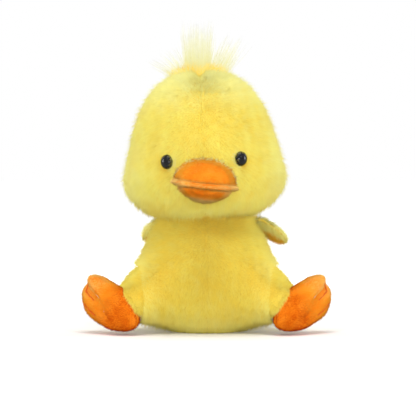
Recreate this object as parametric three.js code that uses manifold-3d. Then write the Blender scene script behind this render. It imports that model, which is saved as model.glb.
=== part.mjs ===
// A sitting stuffed duck. Sizes are in millimetres, +Z is up and the floor is at zero.
// The duck faces -Y. Left and right are its own, so its left is +X.
import * as THREE from 'three';
import { mergeVertices } from 'three/addons/utils/BufferGeometryUtils.js';
import Module from 'manifold-3d';

const wasm = await Module();
wasm.setup();

// Fabric and sewing
const furWall = 5; // backing and pile of the fur fabric, pressed flat
const velourWall = 1.6; // short pile fabric of the bill and feet
const seamGap = 0.3; // between pieces that touch
const cutReach = 400; // cutting blocks are longer than the whole toy

// Body
const bodyHeight = 90;
const bodyHalfWidth = 49.5;
const bellyDepth = 49;
const backDepth = 47;
const seatPress = 0.5; // how deep the weight presses the seat flat
const baseSeamHeight = 6;
const sideSeamBack = 8; // the seam between belly and back lies this far behind the middle

// Pellet bag in the seat
const bagRadius = 18;
const bagHeight = 12;

// Neck: a ball of stuffing that the head turns and nods on
const neckBallRadius = 28;
const neckSink = 4; // the middle of the ball lies this far below the top of the body

// Head, measured from the middle of the neck ball
const headHeight = 113;
const headDrop = 1; // its underside lies this far below the middle of the neck ball
const headHalfWidth = 61.5;
const faceDepth = 54;
const headBackDepth = 51;
const headForward = 4;
const headSeamBack = 4;
const headRollDegrees = 2.5;

// Safety eyes
const eyeDiameter = 11.5;
const eyeDome = 4.6;
const eyeSink = 2.6; // the pile stands this far up round the eye
const eyeSpacing = 57.5;
const eyeHeight = 44;
const eyeTurnDegrees = 42; // how far each eye looks to its side
const shankDiameter = 3.2;
const shankLength = 13;
const washerDiameter = 12;
const washerThickness = 1.6;

// Bill
const billWidth = 46.5;
const billReach = 22; // in front of the face
const billRoot = 8; // how far inside the face its widest line lies
const upperBillRise = 18.5;
const mouthHeight = 28;
const billEdgeDiameter = 3.6;
const lowerBillWidth = 34;
const lowerBillReach = 15;
const lowerBillDrop = 11;
const billTiltDegrees = 9;

// Tuft of long pile on the crown
const tuftHeight = 36;
const tuftWidth = 44;
const tuftThickness = 17;
const tuftRoot = 6; // how far its root reaches into the crown

// Wings, on a rolled root that lies in a groove of the shoulder
const wingLength = 31;
const wingWidth = 25;
const wingThickness = 10;
const wingRootDiameter = 7.6;
const wingRootLength = 19;
const wingGrooveGap = 0.6; // the root turns in its groove
const shoulderSink = 8; // below the top of the body
const shoulderInset = 10.5; // in from the widest line of the body
const leftWingBackDegrees = 11; // how far each wing lies behind straight sideways
const rightWingBackDegrees = 40;
const wingDropDegrees = 34;
const wingTwistDegrees = 20;

// Legs: a round thigh that turns in a hollow of the hip, and a foot
const thighRadius = 26.8;
const hipInset = 5; // in from the widest line of the body
const hipHeight = 27.4;
const legTurnDegrees = 31; // how far the leg points forward of straight sideways
const ankleRadius = 16.5;
const ankleBackShare = 0.167; // how far heelward of the middle of the foot the ankle meets it
const thighArcShare = 0.4; // how much of the front quarter of the thigh is round before it tapers

// Feet
const footLength = 56;
const footWidth = 34;
const footThickness = 24;
const footReach = 36.5; // from the middle of the thigh
const footHeight = 21.8;
const footTurnDegrees = 35; // how far the sole looks to the side
const footTipDegrees = 25; // how far the toes point up
const toeDentWidth = 3.2;
const stitchDiameter = 1.1;
const stitchRise = 0.7; // how far the middle of a stitch stands over the fabric

// Tail
const tailLength = 26;
const tailRootRadius = 15;
const tailTipRadius = 6.5;
const tailHeight = 26;
const tailLiftDegrees = 38;
const tailRoot = 12; // how far its root reaches into the back

// How fine the forms are
const aroundCount = 24;
const alongCount = 12;
const innerAroundCount = 14;
const innerAlongCount = 7;
const ballAroundCount = 16;
const ballAlongCount = 7;
const socketAlongCount = 8;
const arcCount = 6;
const outlineCount = 20;
const pillowCount = 6;
const billAroundCount = 18;
const edgeAlongCount = 22;
const edgeSideCount = 5;
const rootArcCount = 4;
const rootAroundCount = 12;
const stitchAlongCount = 8;
const stitchSideCount = 3;
const routeCount = 16;
const stitchRouteCount = 5;
const searchCount = 30;

// Form of the body from the floor up: share of height, then of side, front and back depth.
const bodyShares = [
  [0, 0, 0, 0],
  [0.001, 0.5, 0.5, 0.5],
  [0.012, 0.72, 0.72, 0.7],
  [0.057, 0.86, 0.87, 0.84],
  [0.136, 0.955, 0.96, 0.94],
  [0.284, 1, 1, 1],
  [0.51, 0.985, 0.97, 0.98],
  [0.61, 0.955, 0.93, 0.95],
  [0.74, 0.89, 0.87, 0.89],
  [0.85, 0.78, 0.77, 0.79],
  [0.922, 0.65, 0.66, 0.68],
  [0.962, 0.5, 0.5, 0.52],
  [0.99, 0.28, 0.28, 0.28],
  [1, 0, 0, 0],
];

// Form of the head from the chin up, in the same four shares.
const headShares = [
  [0, 0, 0, 0],
  [0.006, 0.3, 0.3, 0.3],
  [0.024, 0.56, 0.54, 0.54],
  [0.056, 0.71, 0.69, 0.69],
  [0.1, 0.83, 0.82, 0.81],
  [0.18, 0.955, 0.94, 0.92],
  [0.255, 1, 0.985, 0.98],
  [0.39, 0.94, 1, 1],
  [0.54, 0.875, 0.94, 0.97],
  [0.72, 0.765, 0.79, 0.87],
  [0.865, 0.6, 0.61, 0.69],
  [0.96, 0.37, 0.37, 0.42],
  [1, 0, 0, 0],
];
const faceTaperShare = 1.2; // over 1 draws the face in towards its middle seam
const roundShare = 1;

// Outlines as shares of length or height and of width.
const footOutlineShares = [
  [-0.455, -0.04], [-0.4, -0.28], [-0.165, -0.49], [0.1, -0.53], [0.31, -0.48], [0.4, -0.32],
  [0.525, -0.11], [0.5, 0.13], [0.515, 0.3], [0.375, 0.4], [0.165, 0.42], [-0.045, 0.42],
  [-0.165, 0.32], [-0.31, 0.18],
];
const toeDentShares = [
  [[0.47, 0.1], [0.25, -0.04]],
  [[0.37, -0.3], [0.12, -0.33]],
];
const toeDentDepthShare = 0.42;
const wingOutlineShares = [
  [-0.02, -0.4], [0.25, -0.48], [0.6, -0.46], [0.9, -0.28], [1, 0.05], [0.88, 0.36], [0.55, 0.5],
  [0.22, 0.48], [-0.02, 0.4],
];
const tuftOutlineShares = [
  [0.28, 0], [0.4, 0.26], [0.48, 0.46], [0.4, 0.62], [0.2, 0.76], [0.1, 0.93], [-0.04, 1],
  [-0.2, 0.86], [-0.3, 0.66], [-0.46, 0.52], [-0.42, 0.3], [-0.28, 0],
];
const outlineFullness = 0.8; // under 1 makes a pillow's sides steeper
const curveTension = 0.5;

const neckPivotHeight = bodyHeight - neckSink;
const shoulderHeight = bodyHeight - shoulderSink;
const shoulderReach = bodyHalfWidth - shoulderInset;
const hipReach = bodyHalfWidth - hipInset;

const looks = {
  fur: { color: 0xf2df62, roughness: 0.95 },
  tuft: { color: 0xfaf0b4, roughness: 0.95 },
  lining: { color: 0xf0b92c, roughness: 0.95 },
  velour: { color: 0xf58a1e, roughness: 0.85 },
  thread: { color: 0xd66a14, roughness: 0.8 },
  eye: { color: 0x14161f, roughness: 0.08 },
  washer: { color: 0xe8e8e4, roughness: 0.5 },
  stuffing: { color: 0xf4f4f0, roughness: 1 },
  pellets: { color: 0xd9dde0, roughness: 0.6 },
};

const radians = THREE.MathUtils.degToRad;

// A geometry as a solid that can be cut, without the empty triangles at its poles.
// On the right side it is mirrored, with its triangles turned over.
function solidOf(geometry, side = 1) {
  const bare = new THREE.BufferGeometry();
  bare.setAttribute('position', geometry.getAttribute('position'));
  bare.setIndex(geometry.getIndex());
  const merged = mergeVertices(bare).scale(side, 1, 1);
  const corners = merged.getIndex().array;
  const kept = [];
  for (let i = 0; i < corners.length; i += 3) {
    const [a, b, c] = [corners[i], corners[i + 1], corners[i + 2]];
    if (a !== b && b !== c && c !== a) {
      kept.push(a, ...(side > 0 ? [b, c] : [c, b]));
    }
  }
  const vertProperties = new Float32Array(merged.getAttribute('position').array);
  return new wasm.Manifold(new wasm.Mesh({ numProp: 3, vertProperties, triVerts: new Uint32Array(kept) }));
}

function geometryOf(solid) {
  const { vertProperties, triVerts } = solid.getMesh();
  const geometry = new THREE.BufferGeometry();
  geometry.setAttribute('position', new THREE.BufferAttribute(new Float32Array(vertProperties), 3));
  geometry.setIndex(new THREE.BufferAttribute(new Uint32Array(triVerts), 1));
  geometry.computeVertexNormals();
  return geometry;
}

function addPiece(parent, name, solid, look) {
  const mesh = new THREE.Mesh(geometryOf(solid), new THREE.MeshStandardMaterial(looks[look]));
  mesh.name = name;
  parent.add(mesh);
}

// Closed geometry over rings of points, from a point at one end to a point at the other.
function ringsGeometry(startPoint, rings, endPoint) {
  const points = [startPoint, ...rings.flat(), endPoint];
  const count = rings[0].length;
  const corner = (ring, i) => 1 + ring * count + (i % count);
  const index = [];
  for (let i = 0; i < count; i += 1) {
    index.push(0, corner(0, i + 1), corner(0, i));
    for (let ring = 0; ring + 1 < rings.length; ring += 1) {
      index.push(corner(ring, i), corner(ring, i + 1), corner(ring + 1, i));
      index.push(corner(ring, i + 1), corner(ring + 1, i + 1), corner(ring + 1, i));
    }
    index.push(corner(rings.length - 1, i), corner(rings.length - 1, i + 1), points.length - 1);
  }
  const geometry = new THREE.BufferGeometry().setFromPoints(points);
  geometry.setIndex(index);
  return geometry;
}

// A stuffed form swells and tapers with height. The curves run through its table of shares.
function stuffedForm(sizes, shares, taperShare) {
  const curveOf = (pick) => new THREE.CatmullRomCurve3(shares.map(pick), false, 'catmullrom', curveTension);
  return {
    ...sizes,
    taperShare,
    frontCurve: curveOf(([height, sideways, front]) => new THREE.Vector3(height, sideways, front)),
    backCurve: curveOf(([height, sideways, , back]) => new THREE.Vector3(height, sideways, back)),
  };
}

// A point on the form. The way runs from 0 at the bottom to 1 at the top, and the turn is from +X.
function formPoint(form, way, turn, inset) {
  const isFront = Math.sin(turn) < 0;
  const share = (isFront ? form.frontCurve : form.backCurve).getPoint(way);
  const depth = isFront ? form.frontDepth : form.backDepth;
  const sweep = Math.abs(Math.sin(turn)) ** (isFront ? form.taperShare : roundShare);
  const low = form.bottom + inset;
  return new THREE.Vector3(
    (form.halfWidth - inset) * share.y * Math.cos(turn),
    form.forward + (depth - inset) * share.z * sweep * Math.sign(Math.sin(turn)),
    low + (form.height - inset - inset) * share.x,
  );
}

function formGeometry(form, inset, around, along) {
  const rings = [];
  for (let ring = 1; ring < along; ring += 1) {
    const turns = Array.from({ length: around }, (_, i) => (i * 2 * Math.PI) / around);
    rings.push(turns.map((turn) => formPoint(form, ring / along, turn, inset)));
  }
  return ringsGeometry(formPoint(form, 0, 0, inset), rings, formPoint(form, 1, 0, inset));
}

// The point on the front of a form at a height and a distance to the side.
function frontSpot(form, height, sideways) {
  let low = 0;
  let high = 1;
  for (let pass = 0; pass < searchCount; pass += 1) {
    const middle = (low + high) / 2;
    if (formPoint(form, middle, 0, 0).z < height) {
      low = middle;
    } else {
      high = middle;
    }
  }
  const reach = formPoint(form, low, 0, 0).x;
  return formPoint(form, low, -Math.acos(sideways / reach), 0);
}

const smoothOutline = (shares, along, across) => {
  const knots = shares.map(([x, y]) => new THREE.Vector3(x * along, y * across, 0));
  return new THREE.CatmullRomCurve3(knots, true).getSpacedPoints(outlineCount).slice(0, -1);
};

// A sewn pillow over an outline in X and Y. Its rings draw in to the middle as they rise.
function pillowGeometry(outline, middle, thickness, inset, thin) {
  const span = Math.max(...outline.map((point) => point.distanceTo(middle)));
  const rings = [];
  const ringAt = (rise) => outline.map((edge) => {
    const share = Math.cos(rise) ** outlineFullness * (1 - inset / span);
    const point = middle.clone().lerp(edge, share);
    point.z = (thickness / 2 - inset) * Math.sin(rise) * thin(point);
    return point;
  });
  for (let ring = 1; ring < pillowCount; ring += 1) {
    rings.push(ringAt(-Math.PI / 2 + (ring * Math.PI) / pillowCount));
  }
  const pole = (sign) => {
    const point = middle.clone();
    point.z = sign * (thickness / 2 - inset) * thin(point);
    return point;
  };
  return ringsGeometry(pole(-1), rings, pole(1));
}

const notThinned = () => 1;

function blockAbove(height) {
  const block = new THREE.BoxGeometry(cutReach, cutReach, cutReach);
  return solidOf(block.translate(0, 0, height + cutReach / 2));
}

function blockBeside(axis, side, place) {
  const block = new THREE.BoxGeometry(cutReach, cutReach, cutReach);
  const shift = new THREE.Vector3();
  shift[axis] = place + (side * (cutReach + seamGap)) / 2;
  return solidOf(block.translate(shift.x, shift.y, shift.z));
}

// A hollow that a ball turns in. The flats of its wall clear the corners of the ball.
function socketSolid(ballRadius) {
  const flatShare = Math.cos(Math.PI / ballAroundCount) * Math.cos(Math.PI / (2 * socketAlongCount));
  const radius = (ballRadius + seamGap) / flatShare;
  const ball = new THREE.SphereGeometry(radius, ballAroundCount, socketAlongCount);
  return solidOf(ball.rotateY(Math.PI / ballAroundCount));
}

// Cuts a cover into its left and right panels, in front of and behind its side seams.
function addPanels(parent, cover, seamBack, names) {
  for (const [isFront, start] of [[true, names.front], [false, names.back]]) {
    const half = cover.intersect(blockBeside('y', isFront ? -1 : 1, seamBack));
    for (const [side, end] of [[1, 'left'], [-1, 'right']]) {
      addPiece(parent, `${start}_${end}`, half.intersect(blockBeside('x', side, 0)), 'fur');
    }
  }
}

// The level direction that points this far forward of straight sideways.
const turnOf = (degrees) => new THREE.Vector3(Math.cos(radians(degrees)), -Math.sin(radians(degrees)), 0);

// Body
const bodyForm = stuffedForm({
  bottom: -seatPress,
  height: bodyHeight + seatPress,
  halfWidth: bodyHalfWidth,
  frontDepth: bellyDepth,
  backDepth,
  forward: 0,
}, bodyShares, roundShare);
const hipSpot = (side) => turnOf(legTurnDegrees).multiplyScalar(hipReach).multiply({ x: side, y: 1, z: 1 })
  .setZ(hipHeight);

// Where a wing's root lies and how its own axes turn: along it, across it and out of its outer face.
function wingPlace(side) {
  const heading = turnOf(side > 0 ? -leftWingBackDegrees : -rightWingBackDegrees);
  const drop = radians(wingDropDegrees);
  const along = heading.clone().multiplyScalar(Math.cos(drop)).setZ(-Math.sin(drop));
  const level = new THREE.Vector3(0, 0, 1).cross(heading);
  const across = level.applyAxisAngle(along, -radians(wingTwistDegrees));
  const outward = along.clone().cross(across);
  const flip = { x: side, y: 1, z: 1 };
  const basis = new THREE.Matrix4().makeBasis(
    along.multiply(flip).multiplyScalar(side),
    across.multiply(flip),
    outward.multiply(flip),
  );
  return {
    spot: heading.multiplyScalar(shoulderReach).multiply(flip).setZ(shoulderHeight),
    turn: new THREE.Quaternion().setFromRotationMatrix(basis),
  };
}

function wingRootGeometry(extra) {
  const straight = wingRootLength - wingRootDiameter;
  return new THREE.CapsuleGeometry(wingRootDiameter / 2 + extra, straight, rootArcCount, rootAroundCount);
}

function addBody(parent) {
  const floor = blockAbove(0);
  const outer = solidOf(formGeometry(bodyForm, 0, aroundCount, alongCount)).intersect(floor);
  const inner = solidOf(formGeometry(bodyForm, furWall, innerAroundCount, innerAlongCount));
  const core = solidOf(formGeometry(bodyForm, furWall + seamGap, innerAroundCount, innerAlongCount));
  let hollows = socketSolid(neckBallRadius).translate([0, 0, neckPivotHeight]);
  for (const side of [1, -1]) {
    hollows = hollows.add(socketSolid(thighRadius).translate(hipSpot(side).toArray()));
    const { spot, turn } = wingPlace(side);
    const groove = solidOf(wingRootGeometry(wingGrooveGap).applyQuaternion(turn));
    hollows = hollows.add(groove.translate(spot.toArray()));
  }
  const grown = solidOf(formGeometry(bodyForm, -seamGap, aroundCount, alongCount));
  addPiece(parent, 'tail', tailSolid().subtract(grown), 'fur');

  const cover = outer.subtract(inner).subtract(hollows);
  const aboveBase = blockAbove(baseSeamHeight);
  addPanels(parent, cover.intersect(aboveBase), sideSeamBack, { front: 'belly_panel', back: 'back_panel' });
  const belowBase = blockAbove(baseSeamHeight - seamGap - cutReach);
  addPiece(parent, 'base_panel', cover.intersect(belowBase), 'fur');

  const bagMiddle = furWall + seamGap - seatPress + bagHeight / 2;
  const bag = (extra) => {
    const ball = new THREE.SphereGeometry(1, ballAroundCount, ballAlongCount);
    ball.scale(bagRadius + extra, bagRadius + extra, bagHeight / 2 + extra);
    return solidOf(ball.translate(0, 0, bagMiddle));
  };
  const wide = bagRadius + seamGap;
  const under = new THREE.CylinderGeometry(wide, wide, bagMiddle, ballAroundCount).rotateX(Math.PI / 2);
  const pocket = bag(seamGap).add(solidOf(under.translate(0, 0, bagMiddle / 2)));
  addPiece(parent, 'pellet_bag', bag(0), 'pellets');
  addPiece(parent, 'body_stuffing', core.subtract(hollows).subtract(pocket), 'stuffing');
}

// A short rounded tail that lifts from the back.
function tailSolid() {
  const profile = [new THREE.Vector2(0, -tailRoot), new THREE.Vector2(tailRootRadius, -tailRoot)];
  const tipHeight = tailLength - tailTipRadius;
  for (const [radius, height] of domeCorners(tailTipRadius, tailTipRadius, tipHeight)) {
    profile.push(new THREE.Vector2(radius, height));
  }
  const cone = new THREE.LatheGeometry(profile, ballAroundCount).rotateX(radians(tailLiftDegrees));
  const root = formPoint(bodyForm, tailHeight / bodyHeight, Math.PI / 2, 0);
  return solidOf(cone.translate(0, root.y, tailHeight));
}

// Head, in a frame of its own that starts in the middle of the neck ball
const headForm = stuffedForm({
  bottom: -headDrop,
  height: headHeight,
  halfWidth: headHalfWidth,
  frontDepth: faceDepth,
  backDepth: headBackDepth,
  forward: -headForward,
}, headShares, faceTaperShare);

function eyePlacement(side) {
  const seat = frontSpot(headForm, eyeHeight, eyeSpacing / 2);
  seat.x *= side;
  const eyeTurn = radians(eyeTurnDegrees);
  const look = new THREE.Vector3(side * Math.sin(eyeTurn), -Math.cos(eyeTurn), 0);
  const turn = new THREE.Quaternion().setFromUnitVectors(new THREE.Vector3(0, 1, 0), look);
  return new THREE.Matrix4().compose(seat, turn, new THREE.Vector3(1, 1, 1));
}

// A turned piece on the eye's own axis: radius and height of each corner of its profile.
function eyeTurned(corners, side) {
  const profile = corners.map(([radius, height]) => new THREE.Vector2(radius, height));
  return solidOf(new THREE.LatheGeometry(profile, ballAroundCount).applyMatrix4(eyePlacement(side)));
}

function domeCorners(radius, rise, low) {
  const corners = [];
  for (let step = 0; step <= arcCount; step += 1) {
    const angle = (step * Math.PI) / (2 * arcCount);
    corners.push([step < arcCount ? radius * Math.cos(angle) : 0, low + rise * Math.sin(angle)]);
  }
  return corners;
}

function eyeSolids(side) {
  const shank = shankDiameter / 2;
  const radius = eyeDiameter / 2;
  const washerTop = -furWall - seamGap;
  const washerLow = washerTop - washerThickness;
  const wide = radius + seamGap;
  const washerRadius = washerDiameter / 2;
  return {
    eye: eyeTurned([
      [0, -shankLength], [shank, -shankLength], [shank, -eyeSink],
      ...domeCorners(radius, eyeDome, -eyeSink),
    ], side),
    seat: eyeTurned([
      [0, -shankLength - seamGap], [shank + seamGap, -shankLength - seamGap],
      [shank + seamGap, -eyeSink - seamGap],
      [wide, -eyeSink - seamGap], [wide, eyeDome], [0, eyeDome],
    ], side),
    washer: eyeTurned([
      [shank + seamGap, washerLow], [washerRadius, washerLow], [washerRadius, washerTop],
      [shank + seamGap, washerTop], [shank + seamGap, washerLow],
    ], side),
    washerSeat: eyeTurned([
      [0, washerLow - seamGap], [washerRadius + seamGap, washerLow - seamGap],
      [washerRadius + seamGap, washerTop + seamGap], [0, washerTop + seamGap],
    ], side),
  };
}

// The bill is built level and then tilted round the middle of the mouth.
function tiltedBill(geometry) {
  return solidOf(geometry.rotateY(radians(billTiltDegrees)).translate(0, -headForward - faceDepth, mouthHeight));
}

function billEgg(halfWidth, reach, rise, low) {
  const egg = new THREE.SphereGeometry(1, billAroundCount, ballAlongCount);
  return egg.scale(halfWidth, reach + billRoot, rise).translate(0, billRoot, low);
}

function billBlock(low) {
  return new THREE.BoxGeometry(cutReach, cutReach, cutReach).translate(0, 0, low + cutReach / 2);
}

function addBill(parent, face) {
  const halfWidth = billWidth / 2;
  const wall = velourWall;
  const aboveMouth = tiltedBill(billBlock(0));
  const aboveFloor = tiltedBill(billBlock(wall));
  const aboveStuffing = tiltedBill(billBlock(wall + seamGap));
  const egg = (less) => tiltedBill(billEgg(halfWidth - less, billReach - less, upperBillRise - less, 0));
  const hollow = egg(wall).intersect(aboveFloor);
  addPiece(parent, 'upper_bill', egg(0).intersect(aboveMouth).subtract(hollow).subtract(face), 'velour');
  const filling = egg(wall + seamGap).intersect(aboveStuffing).subtract(face);
  addPiece(parent, 'bill_stuffing', filling, 'stuffing');

  const edgeRadius = billEdgeDiameter / 2;
  const edgeMiddle = -seamGap - edgeRadius;
  const route = [];
  for (let step = 0; step <= routeCount; step += 1) {
    const turn = Math.PI + (step * Math.PI) / routeCount;
    route.push(new THREE.Vector3(
      (halfWidth - edgeRadius) * Math.cos(turn),
      billRoot + (billReach + billRoot - edgeRadius) * Math.sin(turn),
      edgeMiddle,
    ));
  }
  const section = new THREE.Shape().absarc(0, 0, edgeRadius, 0, 2 * Math.PI);
  const edge = new THREE.ExtrudeGeometry(section, {
    extrudePath: new THREE.CatmullRomCurve3(route),
    steps: edgeAlongCount,
    curveSegments: edgeSideCount,
    bevelEnabled: false,
  });
  addPiece(parent, 'bill_edge', tiltedBill(edge).subtract(face), 'velour');

  const lowerTop = -billEdgeDiameter - seamGap - seamGap;
  const lower = tiltedBill(billEgg(lowerBillWidth / 2, lowerBillReach, lowerBillDrop, lowerTop));
  addPiece(parent, 'lower_bill', lower.subtract(tiltedBill(billBlock(lowerTop))).subtract(face), 'velour');
}

function addHead(parent) {
  const outer = solidOf(formGeometry(headForm, 0, aroundCount, alongCount));
  const grown = solidOf(formGeometry(headForm, -seamGap, aroundCount, alongCount));
  const inner = solidOf(formGeometry(headForm, furWall, innerAroundCount, innerAlongCount));
  let hollows = socketSolid(neckBallRadius);
  for (const [side, end] of [[1, 'left'], [-1, 'right']]) {
    const { eye, seat, washer, washerSeat } = eyeSolids(side);
    addPiece(parent, `eye_${end}`, eye, 'eye');
    addPiece(parent, `eye_washer_${end}`, washer, 'washer');
    hollows = hollows.add(seat).add(washerSeat);
  }
  const cover = outer.subtract(inner).subtract(hollows);
  addPanels(parent, cover, headSeamBack, { front: 'cheek_panel', back: 'head_back_panel' });
  const core = solidOf(formGeometry(headForm, furWall + seamGap, innerAroundCount, innerAlongCount));
  addPiece(parent, 'head_stuffing', core.subtract(hollows), 'stuffing');

  const outline = smoothOutline(tuftOutlineShares, tuftWidth, tuftHeight + tuftRoot);
  const middle = new THREE.Vector3(0, tuftHeight / 2, 0);
  const tuft = pillowGeometry(outline, middle, tuftThickness, 0, notThinned).rotateX(Math.PI / 2);
  const crown = headForm.bottom + headForm.height;
  tuft.translate(0, -headForward, crown - tuftRoot);
  addPiece(parent, 'crown_tuft', solidOf(tuft).subtract(grown), 'tuft');
  addBill(parent, grown);
}

// Wing, with its root at the origin, its length along X and its outer face up
function addWing(parent, side, end) {
  const outline = smoothOutline(wingOutlineShares, wingLength, wingWidth);
  const middle = new THREE.Vector3(wingLength / 2, 0, 0);
  const pillow = pillowGeometry(outline, middle, wingThickness, 0, notThinned);
  const wing = solidOf(pillow, side).add(solidOf(wingRootGeometry(0)));
  addPiece(parent, `wing_outer_${end}`, wing.intersect(blockBeside('z', 1, 0)), 'fur');
  addPiece(parent, `wing_lining_${end}`, wing.intersect(blockBeside('z', -1, 0)), 'lining');
}

// Foot: its length along X to the toes, its width along Y and its sole facing +Z
const footOutline = smoothOutline(footOutlineShares, footLength, footWidth);
const footMiddle = new THREE.Vector3();
const toeDents = toeDentShares.map((ends) => {
  const [toe, heel] = ends.map(([x, y]) => new THREE.Vector3(x * footLength, y * footWidth, 0));
  return new THREE.Line3(toe, heel);
});

// The foot is thinner along the lines of stitching between its toes.
function toeThinning(point) {
  const flat = new THREE.Vector3(point.x, point.y, 0);
  const nearest = Math.min(...toeDents.map((line) => {
    return line.closestPointToPoint(flat, true, new THREE.Vector3()).distanceTo(flat);
  }));
  return 1 - toeDentDepthShare * Math.exp(-((nearest / toeDentWidth) ** 2));
}

// How high the sole stands at a point of the foot.
function soleHeight(point) {
  const flat = new THREE.Vector3(point.x, point.y, 0);
  const heading = Math.atan2(flat.y, flat.x);
  const turned = (edge) => {
    const gap = Math.abs(Math.atan2(edge.y, edge.x) - heading);
    return Math.min(gap, 2 * Math.PI - gap);
  };
  const edge = footOutline.reduce((best, next) => (turned(next) < turned(best) ? next : best));
  const share = Math.min(1, flat.length() / edge.length()) ** (1 / outlineFullness);
  return (footThickness / 2) * Math.sqrt(1 - share * share) * toeThinning(flat);
}

// A thread that lies in the dent between two toes. Made wider, it cuts its own groove.
function toeStitchGeometry(line, extra) {
  const route = [];
  for (let step = 0; step <= stitchRouteCount; step += 1) {
    const point = line.at(step / stitchRouteCount, new THREE.Vector3());
    point.z = soleHeight(point) + stitchRise;
    route.push(point);
  }
  const heading = line.delta(new THREE.Vector3()).normalize();
  route[0].addScaledVector(heading, -extra);
  route.at(-1).addScaledVector(heading, extra);
  const section = new THREE.Shape().absarc(0, 0, stitchDiameter / 2 + extra, 0, 2 * Math.PI);
  return new THREE.ExtrudeGeometry(section, {
    extrudePath: new THREE.CatmullRomCurve3(route),
    steps: stitchAlongCount,
    curveSegments: stitchSideCount,
    bevelEnabled: false,
  });
}

// Leg, in a frame that starts in the middle of the thigh
function addLeg(parent, side, end) {
  const sideways = turnOf(-footTurnDegrees);
  const tip = radians(footTipDegrees);
  const toeward = sideways.clone().multiplyScalar(Math.cos(tip)).setZ(Math.sin(tip));
  const footTurn = radians(footTurnDegrees);
  const soleward = new THREE.Vector3(Math.sin(footTurn), -Math.cos(footTurn), 0);
  const footPlace = turnOf(legTurnDegrees).multiplyScalar(footReach);
  footPlace.z = footHeight - hipHeight;
  const footFrame = new THREE.Matrix4().makeBasis(toeward, soleward.clone().cross(toeward), soleward)
    .setPosition(footPlace);
  const placed = (geometry) => solidOf(geometry.applyMatrix4(footFrame), side);
  const foot = (inset) => {
    return placed(pillowGeometry(footOutline, footMiddle, footThickness, inset, toeThinning));
  };
  const ground = blockAbove(-hipHeight);

  const hollow = foot(velourWall);
  const halfBlock = (facing) => {
    const block = new THREE.BoxGeometry(cutReach, cutReach, cutReach);
    return placed(block.translate(0, 0, (facing * (cutReach + seamGap)) / 2));
  };
  let footCover = foot(0).intersect(ground).subtract(hollow);
  let filling = foot(velourWall + seamGap);
  toeDents.forEach((line, i) => {
    const groove = placed(toeStitchGeometry(line, seamGap));
    footCover = footCover.subtract(groove);
    filling = filling.subtract(groove);
    addPiece(parent, `toe_stitch_${i + 1}_${end}`, placed(toeStitchGeometry(line, 0)), 'thread');
  });
  addPiece(parent, `foot_sole_${end}`, footCover.intersect(halfBlock(1)), 'velour');
  addPiece(parent, `foot_back_${end}`, footCover.intersect(halfBlock(-1)), 'velour');
  addPiece(parent, `foot_stuffing_${end}`, filling, 'stuffing');

  // The thigh is a ball that tapers to the ankle.
  const ankle = footPlace.clone().addScaledVector(toeward, -footLength * ankleBackShare);
  const reach = ankle.length();
  const heading = new THREE.Quaternion().setFromUnitVectors(new THREE.Vector3(0, 1, 0), ankle.normalize());
  const thigh = (less) => {
    const radius = thighRadius - less;
    const profile = [];
    for (let step = 0; step <= ballAlongCount; step += 1) {
      const angle = ((step * (1 + thighArcShare)) / ballAlongCount - 1) * (Math.PI / 2);
      profile.push(new THREE.Vector2(step > 0 ? radius * Math.cos(angle) : 0, radius * Math.sin(angle)));
    }
    profile.push(new THREE.Vector2(ankleRadius - less, reach - less), new THREE.Vector2(0, reach - less));
    const turned = new THREE.LatheGeometry(profile, ballAroundCount).applyQuaternion(heading);
    return solidOf(turned, side);
  };
  const cut = foot(-seamGap);
  const cover = thigh(0).intersect(ground).subtract(thigh(furWall)).subtract(cut);
  addPiece(parent, `leg_cover_${end}`, cover, 'fur');
  addPiece(parent, `leg_stuffing_${end}`, thigh(furWall + seamGap).subtract(cut), 'stuffing');
}

const duck = new THREE.Group();
addBody(duck);

const neck = new THREE.Group();
neck.position.z = neckPivotHeight;
const ball = new THREE.SphereGeometry(neckBallRadius, ballAroundCount, ballAlongCount);
addPiece(neck, 'neck_ball', solidOf(ball), 'stuffing');
duck.add(neck);

const head = new THREE.Group();
head.position.z = neckPivotHeight;
head.rotation.y = -radians(headRollDegrees);
addHead(head);
duck.add(head);

for (const [side, end] of [[1, 'left'], [-1, 'right']]) {
  const wing = new THREE.Group();
  const { spot, turn } = wingPlace(side);
  wing.position.copy(spot);
  wing.quaternion.copy(turn);
  addWing(wing, side, end);
  duck.add(wing);

  const leg = new THREE.Group();
  leg.position.copy(hipSpot(side));
  addLeg(leg, side, end);
  duck.add(leg);
}

export default duck;
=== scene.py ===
import math

import bpy
import numpy as np
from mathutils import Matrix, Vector
from mathutils.bvhtree import BVHTree
from mathutils.kdtree import KDTree


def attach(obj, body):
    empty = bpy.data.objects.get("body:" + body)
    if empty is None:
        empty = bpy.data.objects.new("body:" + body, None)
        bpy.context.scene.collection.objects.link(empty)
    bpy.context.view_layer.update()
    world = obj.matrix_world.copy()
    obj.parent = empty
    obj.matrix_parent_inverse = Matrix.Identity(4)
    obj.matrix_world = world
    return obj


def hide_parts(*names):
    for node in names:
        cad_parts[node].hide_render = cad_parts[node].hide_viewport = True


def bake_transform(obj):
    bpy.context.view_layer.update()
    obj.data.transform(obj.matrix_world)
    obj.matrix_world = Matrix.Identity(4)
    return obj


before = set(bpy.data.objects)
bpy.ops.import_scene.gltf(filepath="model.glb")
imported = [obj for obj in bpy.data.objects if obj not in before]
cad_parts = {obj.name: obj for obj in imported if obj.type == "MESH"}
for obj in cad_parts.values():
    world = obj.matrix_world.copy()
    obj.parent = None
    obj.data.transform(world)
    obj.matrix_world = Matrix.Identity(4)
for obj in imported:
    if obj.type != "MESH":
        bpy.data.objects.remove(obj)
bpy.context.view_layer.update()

mm = 0.001
up = np.array([0.0, 0.0, 1.0])
sides = {"left": 1, "right": -1}
print("frame loaded:", len(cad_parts), "nodes")


# Small helpers

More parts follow.
